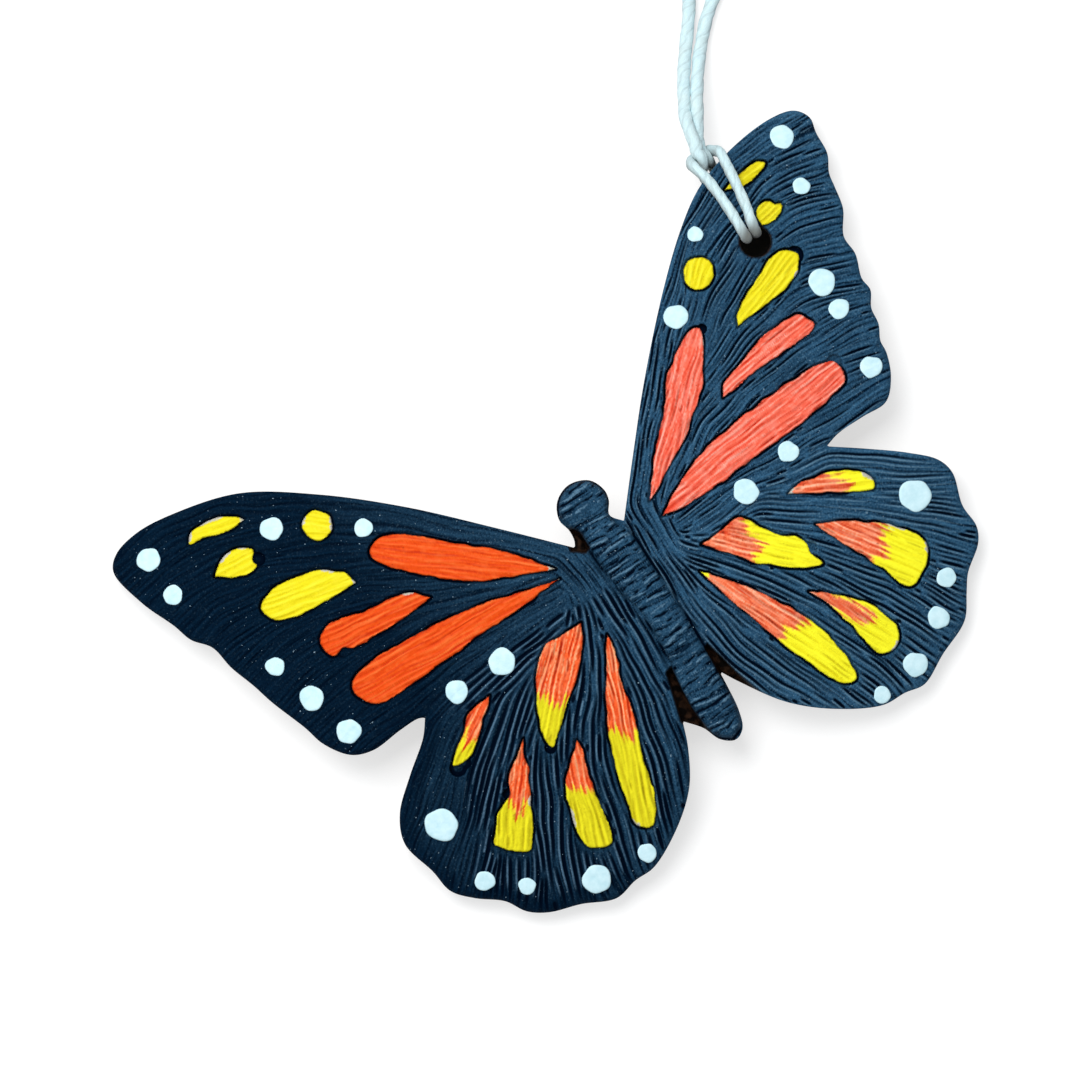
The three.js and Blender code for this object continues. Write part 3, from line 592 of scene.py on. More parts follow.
# Cells of the wing pattern. Each starts and ends at its sharp tip.
CELLS = {
    "left_forewing_yellow": [
        [[-35.2, 20.4], [-35.8, 21.3], [-38.2, 22.5], [-41.4, 22.5], [-42.4, 21.4], [-40.5, 21.15],
         [-38.4, 20.3]],
        [[-41.9, 16.5], [-40.2, 15.2], [-38.4, 14.65], [-37.1, 14.75], [-36.75, 15], [-36.95, 15.5],
         [-36.75, 16.1], [-36.25, 16.5], [-36.2, 16.9], [-37.4, 17.8], [-39.2, 18.1], [-40.6, 17.6]],
        [[-27.9, 6.8], [-28.3, 8.1], [-29.8, 9.8], [-31.5, 10.7], [-34.5, 11.4], [-37, 11.6], [-39.3, 10.6],
         [-39.2, 9.2], [-38.4, 8], [-36.2, 7.2], [-32, 6.85]],
    ],
    "left_forewing_orange": [
        [[-6.9, -4.7], [-9, -1.9], [-12, 1.5], [-16, 5], [-20.5, 9.1], [-22.5, 9.75], [-24.3, 9.3],
         [-24.75, 8.3], [-23.8, 6.6], [-20.5, 3.1], [-16.5, -0.3], [-13, -2.1], [-10, -3.4]],
        [[-21.3, 0.45], [-23, 2.2], [-24.8, 2.9], [-28, 3.25], [-31, 3.95], [-33.2, 4.35], [-34.9, 3.9],
         [-35.5, 2.7], [-35.1, 1], [-33.4, 1], [-32.2, 0.35], [-29, 0.05], [-25, 0.2]],
        [[-7.1, -5.95], [-11, -5], [-16, -3.6], [-22, -2.6], [-27.5, -2.15], [-33.5, -2.4], [-34.9, -3.3],
         [-35.15, -4.8], [-34.2, -6.4], [-33.2, -6.95], [-25, -6.95], [-18, -6.5], [-12, -6.35]],
    ],
    "left_hindwing_flame": [
        [[-21.7, -13.2], [-24.7, -13.6], [-27, -15.5], [-30, -18], [-27.4, -18], [-25, -16.1],
         [-22.7, -14.3]],
        [[-21.1, -19.7], [-23.6, -21.6], [-25.3, -23.1], [-25.75, -24.1], [-26.2, -24.8], [-26.8, -25],
         [-28.3, -25.4], [-29.5, -26.8], [-30.7, -28.2], [-30.85, -28.6], [-30.6, -29], [-29.3, -30.7],
         [-28, -31.45], [-27.6, -31.5], [-27.25, -31.2], [-25.4, -28.8], [-24.1, -26.2], [-22.7, -23.2]],
        [[-7.8, -11.75], [-10.5, -11.75], [-12.8, -11.7], [-14.6, -12.8], [-16.3, -15], [-17.8, -17.5],
         [-18.8, -20], [-19, -22], [-18.7, -22.6], [-17.5, -21.8], [-15, -19.6], [-12, -17.2], [-9.8, -15],
         [-8.6, -13.3]],
        [[-15.8, -23.3], [-18, -25.2], [-19.8, -27.3], [-21, -30], [-21.8, -33.5], [-21.5, -35],
         [-20.2, -36], [-18.9, -36], [-18, -34], [-17.4, -30.5], [-16.6, -27], [-15.7, -24.3]],
        [[-5.9, -14.6], [-8, -17.6], [-10.4, -21.4], [-12, -24.5], [-13.5, -28], [-14.8, -33], [-15.3, -36],
         [-14.1, -36.9], [-12.7, -36.1], [-11.6, -34], [-10.2, -29.5], [-8.8, -25.6], [-7.4, -20.5],
         [-6.2, -17]],
    ],
    "right_forewing_yellow": [
        [[34.6, 22.7], [36, 22.15], [37.6, 21.8], [39.4, 22.2], [40.6, 22.8], [40, 23.4], [38.5, 23.5],
         [36.5, 23.3]],
        [[36.12, 16.7], [37.05, 16.4], [38.4, 16.65], [39.55, 17.4], [39.4, 17.85], [38.85, 18.05],
         [38.65, 18.7], [38.1, 19.05], [37.3, 18.95], [36.4, 18.4], [36.1, 17.5]],
        [[27.1, 8], [28, 9.4], [30, 10.7], [33, 12], [35.4, 12.95], [36.5, 12.95], [37.6, 12.1],
         [37.9, 11.3], [37, 9.8], [36, 9.3], [33, 8.65], [29.8, 8.3]],
    ],
    "right_forewing_coral": [
        [[6.9, -3.95], [9, -1.3], [11, 1.1], [14, 4.1], [16.5, 7.2], [19, 9.2], [22, 10.75], [23.1, 10.4],
         [22.8, 9], [21.5, 6.8], [19, 3.8], [16, 1.2], [14.5, 0.1], [11.5, -1.4], [9, -3.1]],
        [[21, 1.75], [21.8, 2.9], [24.5, 3.95], [28, 5.1], [31.5, 5.55], [34, 5.5], [34.7, 4.6],
         [35.1, 3.4], [34, 2.8], [31, 2.6], [27, 2.4], [23.5, 2]],
        [[7.3, -6.2], [9.5, -4.9], [12, -3.6], [16, -2.1], [20, -1.6], [25, -1.05], [30, -0.85],
         [33.5, -1.1], [34.8, -1.7], [35.1, -2.8], [34.6, -4.3], [33.2, -4.95], [28, -5.75], [22, -6.2],
         [15, -6.65], [10, -6.7]],
    ],
    "right_hindwing_flame": [
        [[21.4, -12.1], [22.8, -11.7], [24.8, -12.05], [27, -12.5], [29, -13.6], [30.6, -15], [31, -16.2],
         [30.5, -17.2], [29.6, -17], [26.5, -15.1], [23, -13.1]],
        [[9.4, -11.6], [12, -11.45], [14.8, -11.3], [15.7, -12.2], [17, -14.4], [18.2, -16], [19.5, -16.9],
         [20.1, -18.3], [19.9, -19.6], [20.5, -21.4], [18.5, -20.9], [16, -19], [13.6, -16.9],
         [11.5, -14.2]],
        [[22.2, -16.9], [24, -17.7], [26.5, -19.2], [28.5, -20.7], [30.4, -22.6], [32, -24.8],
         [32.3, -26.3], [31.5, -27.6], [30, -28.8], [28.2, -29.6], [27.2, -28.7], [26.2, -25.8],
         [24.6, -22.2], [22.9, -18.9]],
        [[17.2, -23.3], [19, -24.6], [21, -26.5], [22.5, -28.2], [23.6, -30.8], [24, -32.6], [23.3, -34.1],
         [21.9, -34.8], [20.4, -34.1], [19.7, -31.5], [19, -28], [18.2, -25.4]],
        [[7.5, -14.2], [9, -15.9], [11, -18.4], [13, -21.5], [15, -25], [16.3, -28.5], [16.9, -32.5],
         [16.8, -34.8], [16.3, -35.4], [15, -35], [14, -33.5], [12.4, -30], [10.8, -26], [9.2, -20.5],
         [8.2, -17]],
    ],
}

# Round yellow cells: centre and radius
ROUND_CELLS = {
    "left_forewing_yellow_spot": (-28.1, 15.1, 1.8),
    "right_forewing_yellow_spot": (26.6, 15.9, 1.9),
}

# The orange part of each orange and yellow cell, with its fingers of brushed colour
ORANGE_PARTS = {
    "left_hindwing_flame_1": [
        [-21.2, -12.8], [-24.6, -13.1], [-25.7, -14.3], [-26.2, -14.9], [-27.6, -16.6], [-25.9, -16.9],
        [-23.6, -15.5],
    ],
    "left_hindwing_flame_2": [
        [-20.6, -19.2], [-23.6, -21.2], [-25.8, -23], [-26.7, -24.4], [-26.3, -25.2], [-26.9, -27.2],
        [-26.2, -27.4], [-25, -26.3], [-23.6, -25.6], [-22, -22.4],
    ],
    "left_hindwing_flame_3": [
        [-6.8, -11], [-13, -11], [-15.2, -12.5], [-16.9, -15.2], [-17.2, -16.4], [-15.9, -16.9],
        [-16.2, -17.9], [-15, -18.8], [-14, -18.3], [-12.6, -18.5], [-8, -13.2],
    ],
    "left_hindwing_flame_4": [
        [-15.2, -22.6], [-18, -24.7], [-20, -27.2], [-19.2, -28], [-18.6, -28.6], [-18.2, -29.6],
        [-17.6, -29.2], [-16.9, -29.3], [-16, -26], [-15.2, -24],
    ],
    "left_hindwing_flame_5": [
        [-5.4, -14], [-8, -17], [-10.7, -21], [-12.4, -24], [-11.4, -24.5], [-10.8, -25.2], [-10.2, -27],
        [-9.3, -26.2], [-8.2, -25.2], [-7, -20], [-5.8, -16.6],
    ],
    "right_hindwing_flame_1": [
        [20.8, -12], [23, -11.3], [25.6, -11.8], [26.6, -12.9], [28.7, -14.6], [28.2, -15.4], [26.6, -15.6],
        [23, -13.6],
    ],
    "right_hindwing_flame_2": [
        [8.8, -11.2], [14.7, -11], [15.2, -12.4], [14.9, -13.6], [15.8, -15.7], [15, -16], [14.4, -15.9],
        [13.2, -17.2], [11.1, -14.4],
    ],
    "right_hindwing_flame_3": [
        [21.8, -16.4], [24.3, -17.3], [27, -19.1], [29.3, -21.5], [28, -22.7], [27.9, -24.1], [27.1, -25],
        [26.5, -24.3], [25.4, -24.1], [24.2, -22.2], [22.5, -18.9],
    ],
    "right_hindwing_flame_4": [
        [16.8, -22.8], [18.8, -24.1], [19.4, -25.2], [21.2, -27.3], [22.2, -29], [22.4, -30.2], [21.3, -30.4],
        [20.5, -30], [19.6, -28.6], [18.8, -27], [17.8, -25],
    ],
    "right_hindwing_flame_5": [
        [7.6, -14.9], [9.3, -15.7], [11.3, -18.2], [13.4, -21.5], [14.8, -24.2], [15, -26.7], [14.2, -26],
        [13.2, -26.3], [12.6, -25.2], [11.8, -26.3], [10.7, -25.5], [8.8, -20], [7.8, -16.8],
    ],
}

# Ends of pockets that the paint doesn't reach: centre and radius
BARE_POCKETS = [
    (-29.6, -18.5, 0.8), (-28.7, -18.3, 0.65), (37.5, 11.6, 0.85), (23.35, 10.1, 0.35), (34.6, -1.7, 0.65),
    (-36.3, 15.5, 0.6), (-33.6, 0.75, 0.65), (-26.2, -24.4, 0.45), (20.3, -19, 0.5), (-18.9, -22.4, 0.5),
]

# Stretches of the cell rims where the pale gourd shows beside the paint: centre and reach
BARE_RIMS = [
    (-38.6, 22.8, 1.9), (-42, 22.3, 0.9), (-39.6, 18.2, 1.3), (-37, 18.1, 0.9), (-26.4, 14.3, 1.1),
    (-29.4, 16.6, 0.8), (-27.8, 6.9, 0.7), (-30, 9.9, 1.0), (-23.2, 2.7, 1.0), (-7.2, -4.4, 0.7),
    (-6.8, -6.0, 0.7), (-30.2, -19.2, 1.2), (-24.4, -26.6, 0.8), (-21.3, -31, 1.4), (-15.3, -35.6, 0.8),
    (30.9, -15.2, 1.2), (21.7, -11.8, 0.8), (30.2, -22.4, 1.5), (32.3, -26.6, 1.0), (22.6, -34.6, 1.0),
    (36.6, 9.4, 0.7), (23.0, 8.5, 0.7), (7.4, -13.2, 0.7), (-35.4, 20.5, 0.5),
]

# White dabs: centre and radius
DABS = {
    "left_forewing": [
        (-47.5, 22.55, 1.43), (-47.3, 17.4, 1.2), (-33, 17.7, 1.4), (-23.65, 11.85, 1.13),
        (-41.55, 3.55, 1.15), (-39.9, -2, 1.5), (-38.3, -7.75, 1.5), (-24.8, -10.7, 1.4),
        (-18.3, -10.6, 1.65),
    ],
    "left_hindwing": [
        (-35, -23.2, 2), (-34.25, -31.7, 1.22), (-30.3, -34.95, 1.05), (-22.8, -38.75, 1.75),
        (-16, -39.35, 1.15),
    ],
    "right_forewing": [
        (43.95, 24.4, 1.45), (42.7, 18.15, 1.05), (28.8, 20.1, 0.95), (21.5, 13, 1.48), (38.55, 7.1, 1.65),
        (38.55, 3.3, 1.25), (38.05, -4.65, 1.33), (24.15, -7.85, 1.28), (17.3, -9.15, 1.55),
    ],
    "right_hindwing": [
        (34.2, -20.5, 1.95), (32.1, -30.85, 1.2), (28.7, -34.4, 1.35), (23.35, -37.65, 1.5),
        (18, -38.55, 1.05),
    ],
}

# Which way the carving strokes run: a place and the stroke's angle in degrees
STROKE_GUIDES = [
    # left forewing, along its leading edge, across its margin and between its cells
    (-8, 0.5, 133), (-16, 8.5, 135), (-25, 16.5, 140), (-33, 21.5, 150), (-41, 24.3, 172), (-49, 24, 10),
    (-49.5, 20, 12), (-47.5, 13, 14), (-44.8, 5, 14), (-42.5, -2, 14), (-40, -7.5, 8), (-34, -9.3, 2),
    (-24, -8.6, 1), (-12, -8.3, -2), (-25, 5, 150), (-33, 13.5, 158), (-30, 5.2, 168), (-30, -1.2, 177),
    (-16, -2.2, 155), (-40, 12, 172), (-44, 19, 178), (-36, 18.5, 160),
    # right forewing
    (8, 0.5, 49), (16, 9, 46), (25, 18, 42), (33, 23.5, 28), (40, 25.8, 6), (46, 25, -5), (46, 20, -14),
    (44, 14, -20), (42, 9, -22), (41.5, 4, -20), (40, -2, -14), (38.5, -7, -6), (33, -8, 2), (25, -9, 4),
    (12, -8.4, 3), (30, 7, 8), (37, 14.5, 4), (31, 14, 25), (24, 11.5, 40), (15, -0.5, 35), (20, 0, 18),
    (28, 0.8, 6), (37, 0.5, -3), (26, 6.5, 20), (33, 19.5, 20),
    # left hindwing, along the body and then fanning out to the margin
    (-3.6, -8, 96), (-4, -14, 92), (-4.5, -22, 86), (-6, -28, 78), (-9, -34, 68), (-13, -38.5, 72),
    (-8, -13, 66), (-20, -40, 78), (-25, -38, 70), (-30, -34.5, 57), (-35, -29, 45), (-38, -24, 35),
    (-35, -18, 40), (-30, -14.5, 40), (-25, -18, 38), (-20, -16, 40), (-28, -23, 46), (-22, -27, 60),
    (-24, -33, 66), (-17, -24, 56), (-13, -19, 48), (-16, -30, 76), (-10, -17, 58), (-8, -24, 76),
    (-20, -12.3, 12), (-12, -10.2, 3), (-27, -11.8, 12),
    # right hindwing
    (4.6, -8, 86), (4.5, -14, 88), (5, -22, 98), (7, -28, 112), (10, -33, 118), (15, -37.5, 112),
    (20, -38.5, 106), (25, -37, 112), (29.5, -33, 118), (34, -29, 128), (37, -24.5, 138), (38, -20.5, 150),
    (35, -16.5, 143), (30, -12.5, 143), (24, -14.5, 145), (20, -14.5, 138), (33, -22.5, 140),
    (25, -24, 125), (25.5, -31, 118), (18, -28, 112), (17, -22.5, 124), (12, -19, 125), (10, -25, 112),
    (9, -13, 130), (14, -10.2, 2), (25, -10.4, -4),
]


def circle(x, y, radius, steps=48):
    turn = once_round(steps)
    return np.stack([x + radius * np.cos(turn), y + radius * np.sin(turn)], 1)


def hand_cut(closed, seed):
    """A closed outline with the small wobble of a hand-held knife, in and out by up to about 0.15 mm.

    The wobble fades out towards sharp tips, so that their two sides don't cross.
    """
    wobble = np.random.default_rng(seed).standard_normal(len(closed))
    for _ in range(WOBBLE_ROUNDS):
        wobble = (np.roll(wobble, 1) + wobble + np.roll(wobble, -1)) / 3
    ahead = np.roll(closed, -1, 0) - np.roll(closed, 1, 0)
    outward = np.stack([ahead[:, 1], -ahead[:, 0]], 1) / np.linalg.norm(ahead, axis=1)[:, None]
    chord = np.linalg.norm(np.roll(closed, -TIP_REACH, 0) - np.roll(closed, TIP_REACH, 0), axis=1)
    steps = np.linalg.norm(np.roll(closed, -1, 0) - closed, axis=1)
    wobble *= smoothstep(0.5, 0.9, chord / (2 * TIP_REACH * steps.mean()))
    return closed + HAND_WOBBLE * wobble[:, None] * outward


class Grid:
    """Square grid of points over the drawing."""

    def __init__(self, low, high, spacing):
        self.spacing = spacing
        self.xs = np.arange(low[0] - 3 * spacing, high[0] + 4 * spacing, spacing)
        self.ys = np.arange(low[1] - 3 * spacing, high[1] + 4 * spacing, spacing)
        self.x, self.y = np.meshgrid(self.xs, self.ys)

    def distance(self, outline, reach):
        """Distance from a closed outline, negative inside it and no more than reach."""
        best = np.full(self.x.shape, reach**2)
        inside = np.zeros(self.x.shape, bool)
        for a, b in zip(np.roll(outline, 1, 0), outline):
            low = np.minimum(a, b) - reach
            high = np.maximum(a, b) + reach
            near = (
                slice(*np.searchsorted(self.ys, (low[1], high[1]))),
                slice(*np.searchsorted(self.xs, (low[0], high[0]))),
            )
            edge = b - a
            x = self.x[near] - a[0]
            y = self.y[near] - a[1]
            share = np.clip((x * edge[0] + y * edge[1]) / max(edge @ edge, 1e-12), 0, 1)
            gap = (x - share * edge[0]) ** 2 + (y - share * edge[1]) ** 2
            best[near] = np.minimum(best[near], gap)
            if a[1] != b[1]:
                rows = slice(*np.searchsorted(self.ys, sorted((a[1], b[1]))))
                crossing = a[0] + edge[0] * (self.ys[rows] - a[1]) / edge[1]
                inside[rows] ^= self.xs[None, :] < crossing[:, None]
        return np.where(inside, -1, 1) * np.sqrt(best)

    def sample(self, field, x, y):
        """A field of this grid at other points, between its own points."""
        column = np.clip((x - self.xs[0]) / self.spacing, 0, len(self.xs) - 1.001)
        row = np.clip((y - self.ys[0]) / self.spacing, 0, len(self.ys) - 1.001)
        i = column.astype(int)
        j = row.astype(int)
        u = column - i
        v = row - j
        low = field[j, i] * (1 - u) + field[j, i + 1] * u
        high = field[j + 1, i] * (1 - u) + field[j + 1, i + 1] * u
        return low * (1 - v) + high * v

    def cell(self, x, y):
        """Row and column of the grid's point that is nearest to a place."""
        return round((y - self.ys[0]) / self.spacing), round((x - self.xs[0]) / self.spacing)

    def noise(self, size, seed):
        """Random field of unit spread whose bumps are about size millimetres across."""
        white = np.random.default_rng(seed).standard_normal(self.x.shape)
        rows = np.fft.fftfreq(self.x.shape[0], self.spacing)[:, None]
        columns = np.fft.fftfreq(self.x.shape[1], self.spacing)[None, :]
        waves = np.hypot(rows, columns) * 1.4 * size
        field = np.fft.ifft2(np.fft.fft2(white) * waves * np.exp(-(waves**2))).real
        return field / field.std()

    def drawn_out(self, field, angle, reach):
        """A field averaged along the lines of a direction, so that its bumps become strokes."""
        total = field.copy()
        stride = 2 * self.spacing
        steps = round(reach / stride)
        for sign in (1, -1):
            x = self.x.copy()
            y = self.y.copy()
            ahead = (sign * np.cos(angle), sign * np.sin(angle))
            for _ in range(steps):
                x += stride * ahead[0]
                y += stride * ahead[1]
                total += self.sample(field, x, y)
                i = np.clip(np.rint((x - self.xs[0]) / self.spacing).astype(int), 0, len(self.xs) - 1)
                j = np.clip(np.rint((y - self.ys[0]) / self.spacing).astype(int), 0, len(self.ys) - 1)
                here = (np.cos(angle[j, i]), np.sin(angle[j, i]))
                turn = np.where(here[0] * ahead[0] + here[1] * ahead[1] < 0, -1, 1)
                ahead = (turn * here[0], turn * here[1])
        return total / total.std()


def dome(x, y, radius=DOME_RADIUS):
    """Height of the gourd's skin, or of its inside at a smaller radius."""
    from_crown = (x - CROWN[0]) ** 2 + (y - CROWN[1]) ** 2
    return CROWN_HEIGHT - DOME_RADIUS + np.sqrt(radius**2 - from_crown)


outline = np.vstack([smooth_path(run, spacing=0.4)[:-1] for run in OUTLINE_RUNS])
body_outline = smooth_path(BODY_RUN, spacing=0.5)[:-1]
hole_outline = circle(*HOLE_CENTRE, HOLE_RADIUS)
cell_outlines = {}
for group, cells in CELLS.items():
    for i, points in enumerate(cells):
        cell_outlines[f"{group}_{i + 1}"] = smooth_path(points + points[:1], spacing=0.25)[:-1]
for name, spot in ROUND_CELLS.items():
    cell_outlines[name] = circle(*spot)
for i, (name, closed) in enumerate(cell_outlines.items()):
    cell_outlines[name] = hand_cut(closed, CELL_SEED + i)

grid = Grid(outline.min(0), outline.max(0), SHELL_SPACING)


def stroke_angles():
    """Direction of the carving strokes over the whole piece, from the guides by their distance."""
    across = np.zeros(grid.x.shape)
    along = np.zeros(grid.x.shape)
    for x, y, degrees in STROKE_GUIDES:
        weight = 1 / ((grid.x - x) ** 2 + (grid.y - y) ** 2 + 1) ** 2
        along += weight * math.cos(2 * math.radians(degrees))
        across += weight * math.sin(2 * math.radians(degrees))
    return 0.5 * np.arctan2(across, along) + WING_WAVER * grid.noise(4, seed=1)


edge = grid.distance(outline, REACH)
hole = grid.distance(hole_outline, REACH)
body = grid.distance(body_outline, REACH)
ledge = np.minimum.reduce([grid.distance(np.array(points), SMALL_REACH) for points in LEDGES])
pocket = np.minimum.reduce([grid.distance(points, SMALL_REACH) for points in cell_outlines.values()])
cells_only = pocket.copy()
for x, y, radius in BARE_POCKETS:
    pocket = np.minimum(pocket, np.hypot(grid.x - x, grid.y - y) - radius)
on_body = smoothstep(0.1, -0.1, body)


def follow(angle, allowed, nearest, start, sign, reach, least_gap):
    """Points of a stroke from a start, with the flow or against it, until it meets another or its end."""
    step = STROKE_STEP * grid.spacing
    j, i = start
    x = grid.xs[i]
    y = grid.ys[j]
    ahead = (sign * math.cos(angle[j, i]), sign * math.sin(angle[j, i]))
    points = []
    while len(points) * step < reach:
        x += step * ahead[0]
        y += step * ahead[1]
        j, i = grid.cell(x, y)
        if not allowed[j, i] or nearest[j, i] < least_gap:
            break
        points.append((x, y))
        here = (math.cos(angle[j, i]), math.sin(angle[j, i]))
        turn = -1 if here[0] * ahead[0] + here[1] * ahead[1] < 0 else 1
        ahead = (turn * here[0], turn * here[1])
    return points


def carve(angle, allowed, spacing, lengths, width, boldness, seed):
    """Depth of knife strokes laid side by side along a direction, and of the lip along each, from 0 to 1.

    Each stroke starts at a random free place, follows the direction both ways, keeps its distance from the
    strokes before it, and tapers at both ends.
    """
    random = np.random.default_rng(seed)
    nearest = np.full(grid.x.shape, 9.0)
    depth = np.zeros(grid.x.shape)
    lip = np.zeros(grid.x.shape)
    starts = np.argwhere(allowed)
    window = math.ceil(spacing / grid.spacing)
    for start in starts[random.permutation(len(starts))]:
        if nearest[tuple(start)] < spacing:
            continue
        reach = random.uniform(*lengths) / 2
        least_gap = STROKE_CLOSEST * spacing
        back = follow(angle, allowed, nearest, start, -1, reach, least_gap)
        stroke = back[::-1] + follow(angle, allowed, nearest, start, 1, reach, least_gap)
        if len(stroke) < STROKE_FEWEST:
            nearest[tuple(start)] = 0
            continue
        deepest = random.uniform(*boldness)
        for n, ((x, y), (along_x, along_y)) in enumerate(zip(stroke, headings_of(np.array(stroke)))):
            j, i = grid.cell(x, y)
            near = (slice(max(j - window, 0), j + window + 1), slice(max(i - window, 0), i + window + 1))
            dx = grid.x[near] - x
            dy = grid.y[near] - y
            gap = np.hypot(dx, dy)
            strength = deepest * math.sin(math.pi * (n + 0.5) / len(stroke)) ** 0.4
            nearest[near] = np.minimum(nearest[near], gap)
            depth[near] = np.maximum(depth[near], strength * np.exp(-((gap / width) ** 2)))
            lip_hand = math.copysign(1, along_x * LIP_SIDE[1] - along_y * LIP_SIDE[0])
            across = lip_hand * (along_x * dy - along_y * dx) / width
            beside = np.abs(along_x * dx + along_y * dy) < grid.spacing
            raised = beside * np.exp(-(((across - LIP_OFFSET) / LIP_WIDTH) ** 2))
            lip[near] = np.maximum(lip[near], strength * raised)
    return depth, lip * (1 - depth)


def brush_angles(angle):
    """Direction of the brush: along each long cell, and along the wing's strokes elsewhere."""
    brushed = angle.copy()
    for closed in cell_outlines.values():
        spreads, axes = np.linalg.eigh(np.cov(closed.T))
        if spreads[1] > 2 * spreads[0]:
            inside = grid.distance(closed, 0.5) < 0.3
            brushed[inside] = math.atan2(axes[1, 1], axes[0, 1])
    return brushed + WING_WAVER * grid.noise(3, seed=5)


wing_angle = stroke_angles()
cell_angle = brush_angles(wing_angle)
body_angle = BODY_WAVER * grid.noise(2, seed=4)
face_angle = np.where(body < 0, body_angle, wing_angle)
fine_streaks = grid.drawn_out(grid.noise(0.3, seed=3), face_angle, 4.0)
brush_streaks = grid.drawn_out(grid.noise(0.3, seed=8), cell_angle, 3.0)
unevenness = grid.noise(4, seed=6)
roughness = grid.noise(0.6, seed=7)
# Strokes keep these distances from the edge, the body, the pockets, the ledges and the hole
plain_face = (edge < -0.15) & (body > 0.35) & (pocket > POCKET_GAP + 0.15) & (ledge > 0.3) & (hole > 0.4)
on_hindwings = plain_face & (grid.y < HINDWINGS_BELOW)
on_left = grid.x < 0
fore_grooves, fore_lips = carve(wing_angle, plain_face & ~on_hindwings, *STROKES["forewings"])
left_grooves, left_lips = carve(wing_angle, on_hindwings & on_left, *STROKES["left_hindwing"])
right_grooves, right_lips = carve(wing_angle, on_hindwings & ~on_left, *STROKES["right_hindwing"])
cell_grooves, cell_lips = carve(cell_angle, cells_only < -0.12, *STROKES["cells"])
segments = np.sin(2 * math.pi * (grid.y + 0.15 * unevenness) / SEGMENT_LENGTH)
body_bands = 0.9 * grid.drawn_out(grid.noise(0.42, seed=9), body_angle, 1.3) + 0.8 * segments
body_grooves = on_body * 0.62 * smoothstep(0.1, 1.6, body_bands)
body_lips = on_body * 0.8 * smoothstep(0.5, 1.6, -body_bands)

# Strokes are shallower on the left forewing, in its cells and on the outer left hindwing, and lips lower
# there and along the left hindwing's margin. This also weakens the painted shade in the strokes and the
# painted highlights on the lips on the darker left side.
cell_grooves *= np.where((grid.x < -6) & (grid.y > -9), 0.55, 1)
cell_grooves *= np.where((grid.x < -26) & (grid.y > 5.5), 0.7, 1)
across_fore = smoothstep(-14, 6, grid.x)
fore_grooves *= 0.6 + 0.4 * across_fore
fore_lips *= 0.4 + 0.6 * across_fore
outer_left = smoothstep(-24, -30, grid.x - 0.55 * (grid.y + 16))
left_grooves *= 1 - 0.45 * outer_left
left_lips *= 1 - 0.6 * outer_left
left_lips *= 1 - 0.65 * smoothstep(-3, -0.8, edge)
# The right hindwing has bold lips, and its upper corner is carved more lightly
right_grooves *= 1 - 0.3 * smoothstep(20, 27, grid.x) * smoothstep(-27, -20, grid.y)
right_lips = np.minimum(1.3 * right_lips, 1)
grooves = np.maximum.reduce([fore_grooves, left_grooves, right_grooves, body_grooves])
lips = np.maximum.reduce([fore_lips, left_lips, right_lips, body_lips])


def soft_band(distance, offset, width):
    """A soft band along an outline, 1 at its offset from it."""
    return np.exp(-(((distance - offset) / width) ** 2))


def wear(inward, width, depth):
    """How much wear takes off, by the distance from an edge."""
    return depth * (1 - np.clip(inward / width, 0, 1)) ** 2


def carved_height():
    """Height of the carved face: strokes, body ridge, pockets, ledges and edges rounded by wear on the dome.
    """
    height = dome(grid.x, grid.y)
    relief = UNEVEN_HEIGHT * unevenness - STROKE_DEPTH * grooves + LIP_HEIGHT * lips
    relief += GRAIN_HEIGHT * (roughness + fine_streaks)
    for dabs in DABS.values():
        for x, y, radius in dabs:
            covered = smoothstep(radius + 0.2, radius - 0.3, np.hypot(grid.x - x, grid.y - y))
            relief *= 1 - 0.7 * covered
    in_pocket = smoothstep(POCKET_GAP + 0.06, POCKET_GAP - 0.12, pocket)
    height += relief * (1 - 0.8 * in_pocket)
    across = np.clip(-body / BODY_ROUNDING, 0, 1)
    height += on_body * (BODY_STEP + BODY_RISE * np.sqrt(1 - (1 - across) ** 2))
    height += BODY_FOOT[2] * soft_band(body, *BODY_FOOT[:2])
    height += POCKET_LIP[2] * soft_band(pocket, *POCKET_LIP[:2]) * (1 - on_body)
    height -= POCKET_DEPTH * in_pocket
    height -= LEDGE_DEPTH * smoothstep(0.2, -0.2, ledge) * (1 - on_body)
    return height - wear(-edge, *EDGE_WEAR) - wear(hole, *HOLE_WEAR)


def painted_shade_lines():
    """Where painted shade lies: in the strokes, round the cells and along the foot of the body."""
    round_cells = smoothstep(0.36, 0.16, pocket) * np.clip(0.7 + 0.5 * unevenness, 0.15, 1)
    round_cells *= 1 - 0.6 * smoothstep(0.0, -0.4, pocket)
    along_body = np.clip(0.6 + 0.4 * unevenness, 0.2, 0.85) * soft_band(body, 0.2, 0.2)
    return np.maximum.reduce([grooves, round_cells, along_body])


def painted_side_light():
    """Share of painted light on the navy, 0 to 1: none on the outer left wings, rising to full just right
    of the body, a little more inside the hindwings away from their margins, and a little less on the body
    and forewings.
    """
    side_light = np.clip((grid.x + 28) / 38, 0, 1)
    hindwing = smoothstep(-8, -14, grid.y) * smoothstep(-0.6, -3, edge)
    forewing = smoothstep(-9, -6, grid.y)
    return (side_light + 0.16 * hindwing * (1 - side_light)) * (1 - 0.12 * np.maximum(on_body, forewing))


def nearest_on(outlines, points):
    """For each point, the nearest point of the closed outlines."""
    best = np.full(len(points), np.inf)
    found = points.copy()
    for closed in outlines:
        for a, b in zip(np.roll(closed, 1, 0), closed):
            along = b - a
            share = np.clip((points - a) @ along / max(along @ along, 1e-12), 0, 1)
            spot = a + share[:, None] * along
            gap = ((points - spot) ** 2).sum(1)
            closer = gap < best
            best[closer] = gap[closer]
            found[closer] = spot[closer]
    return found


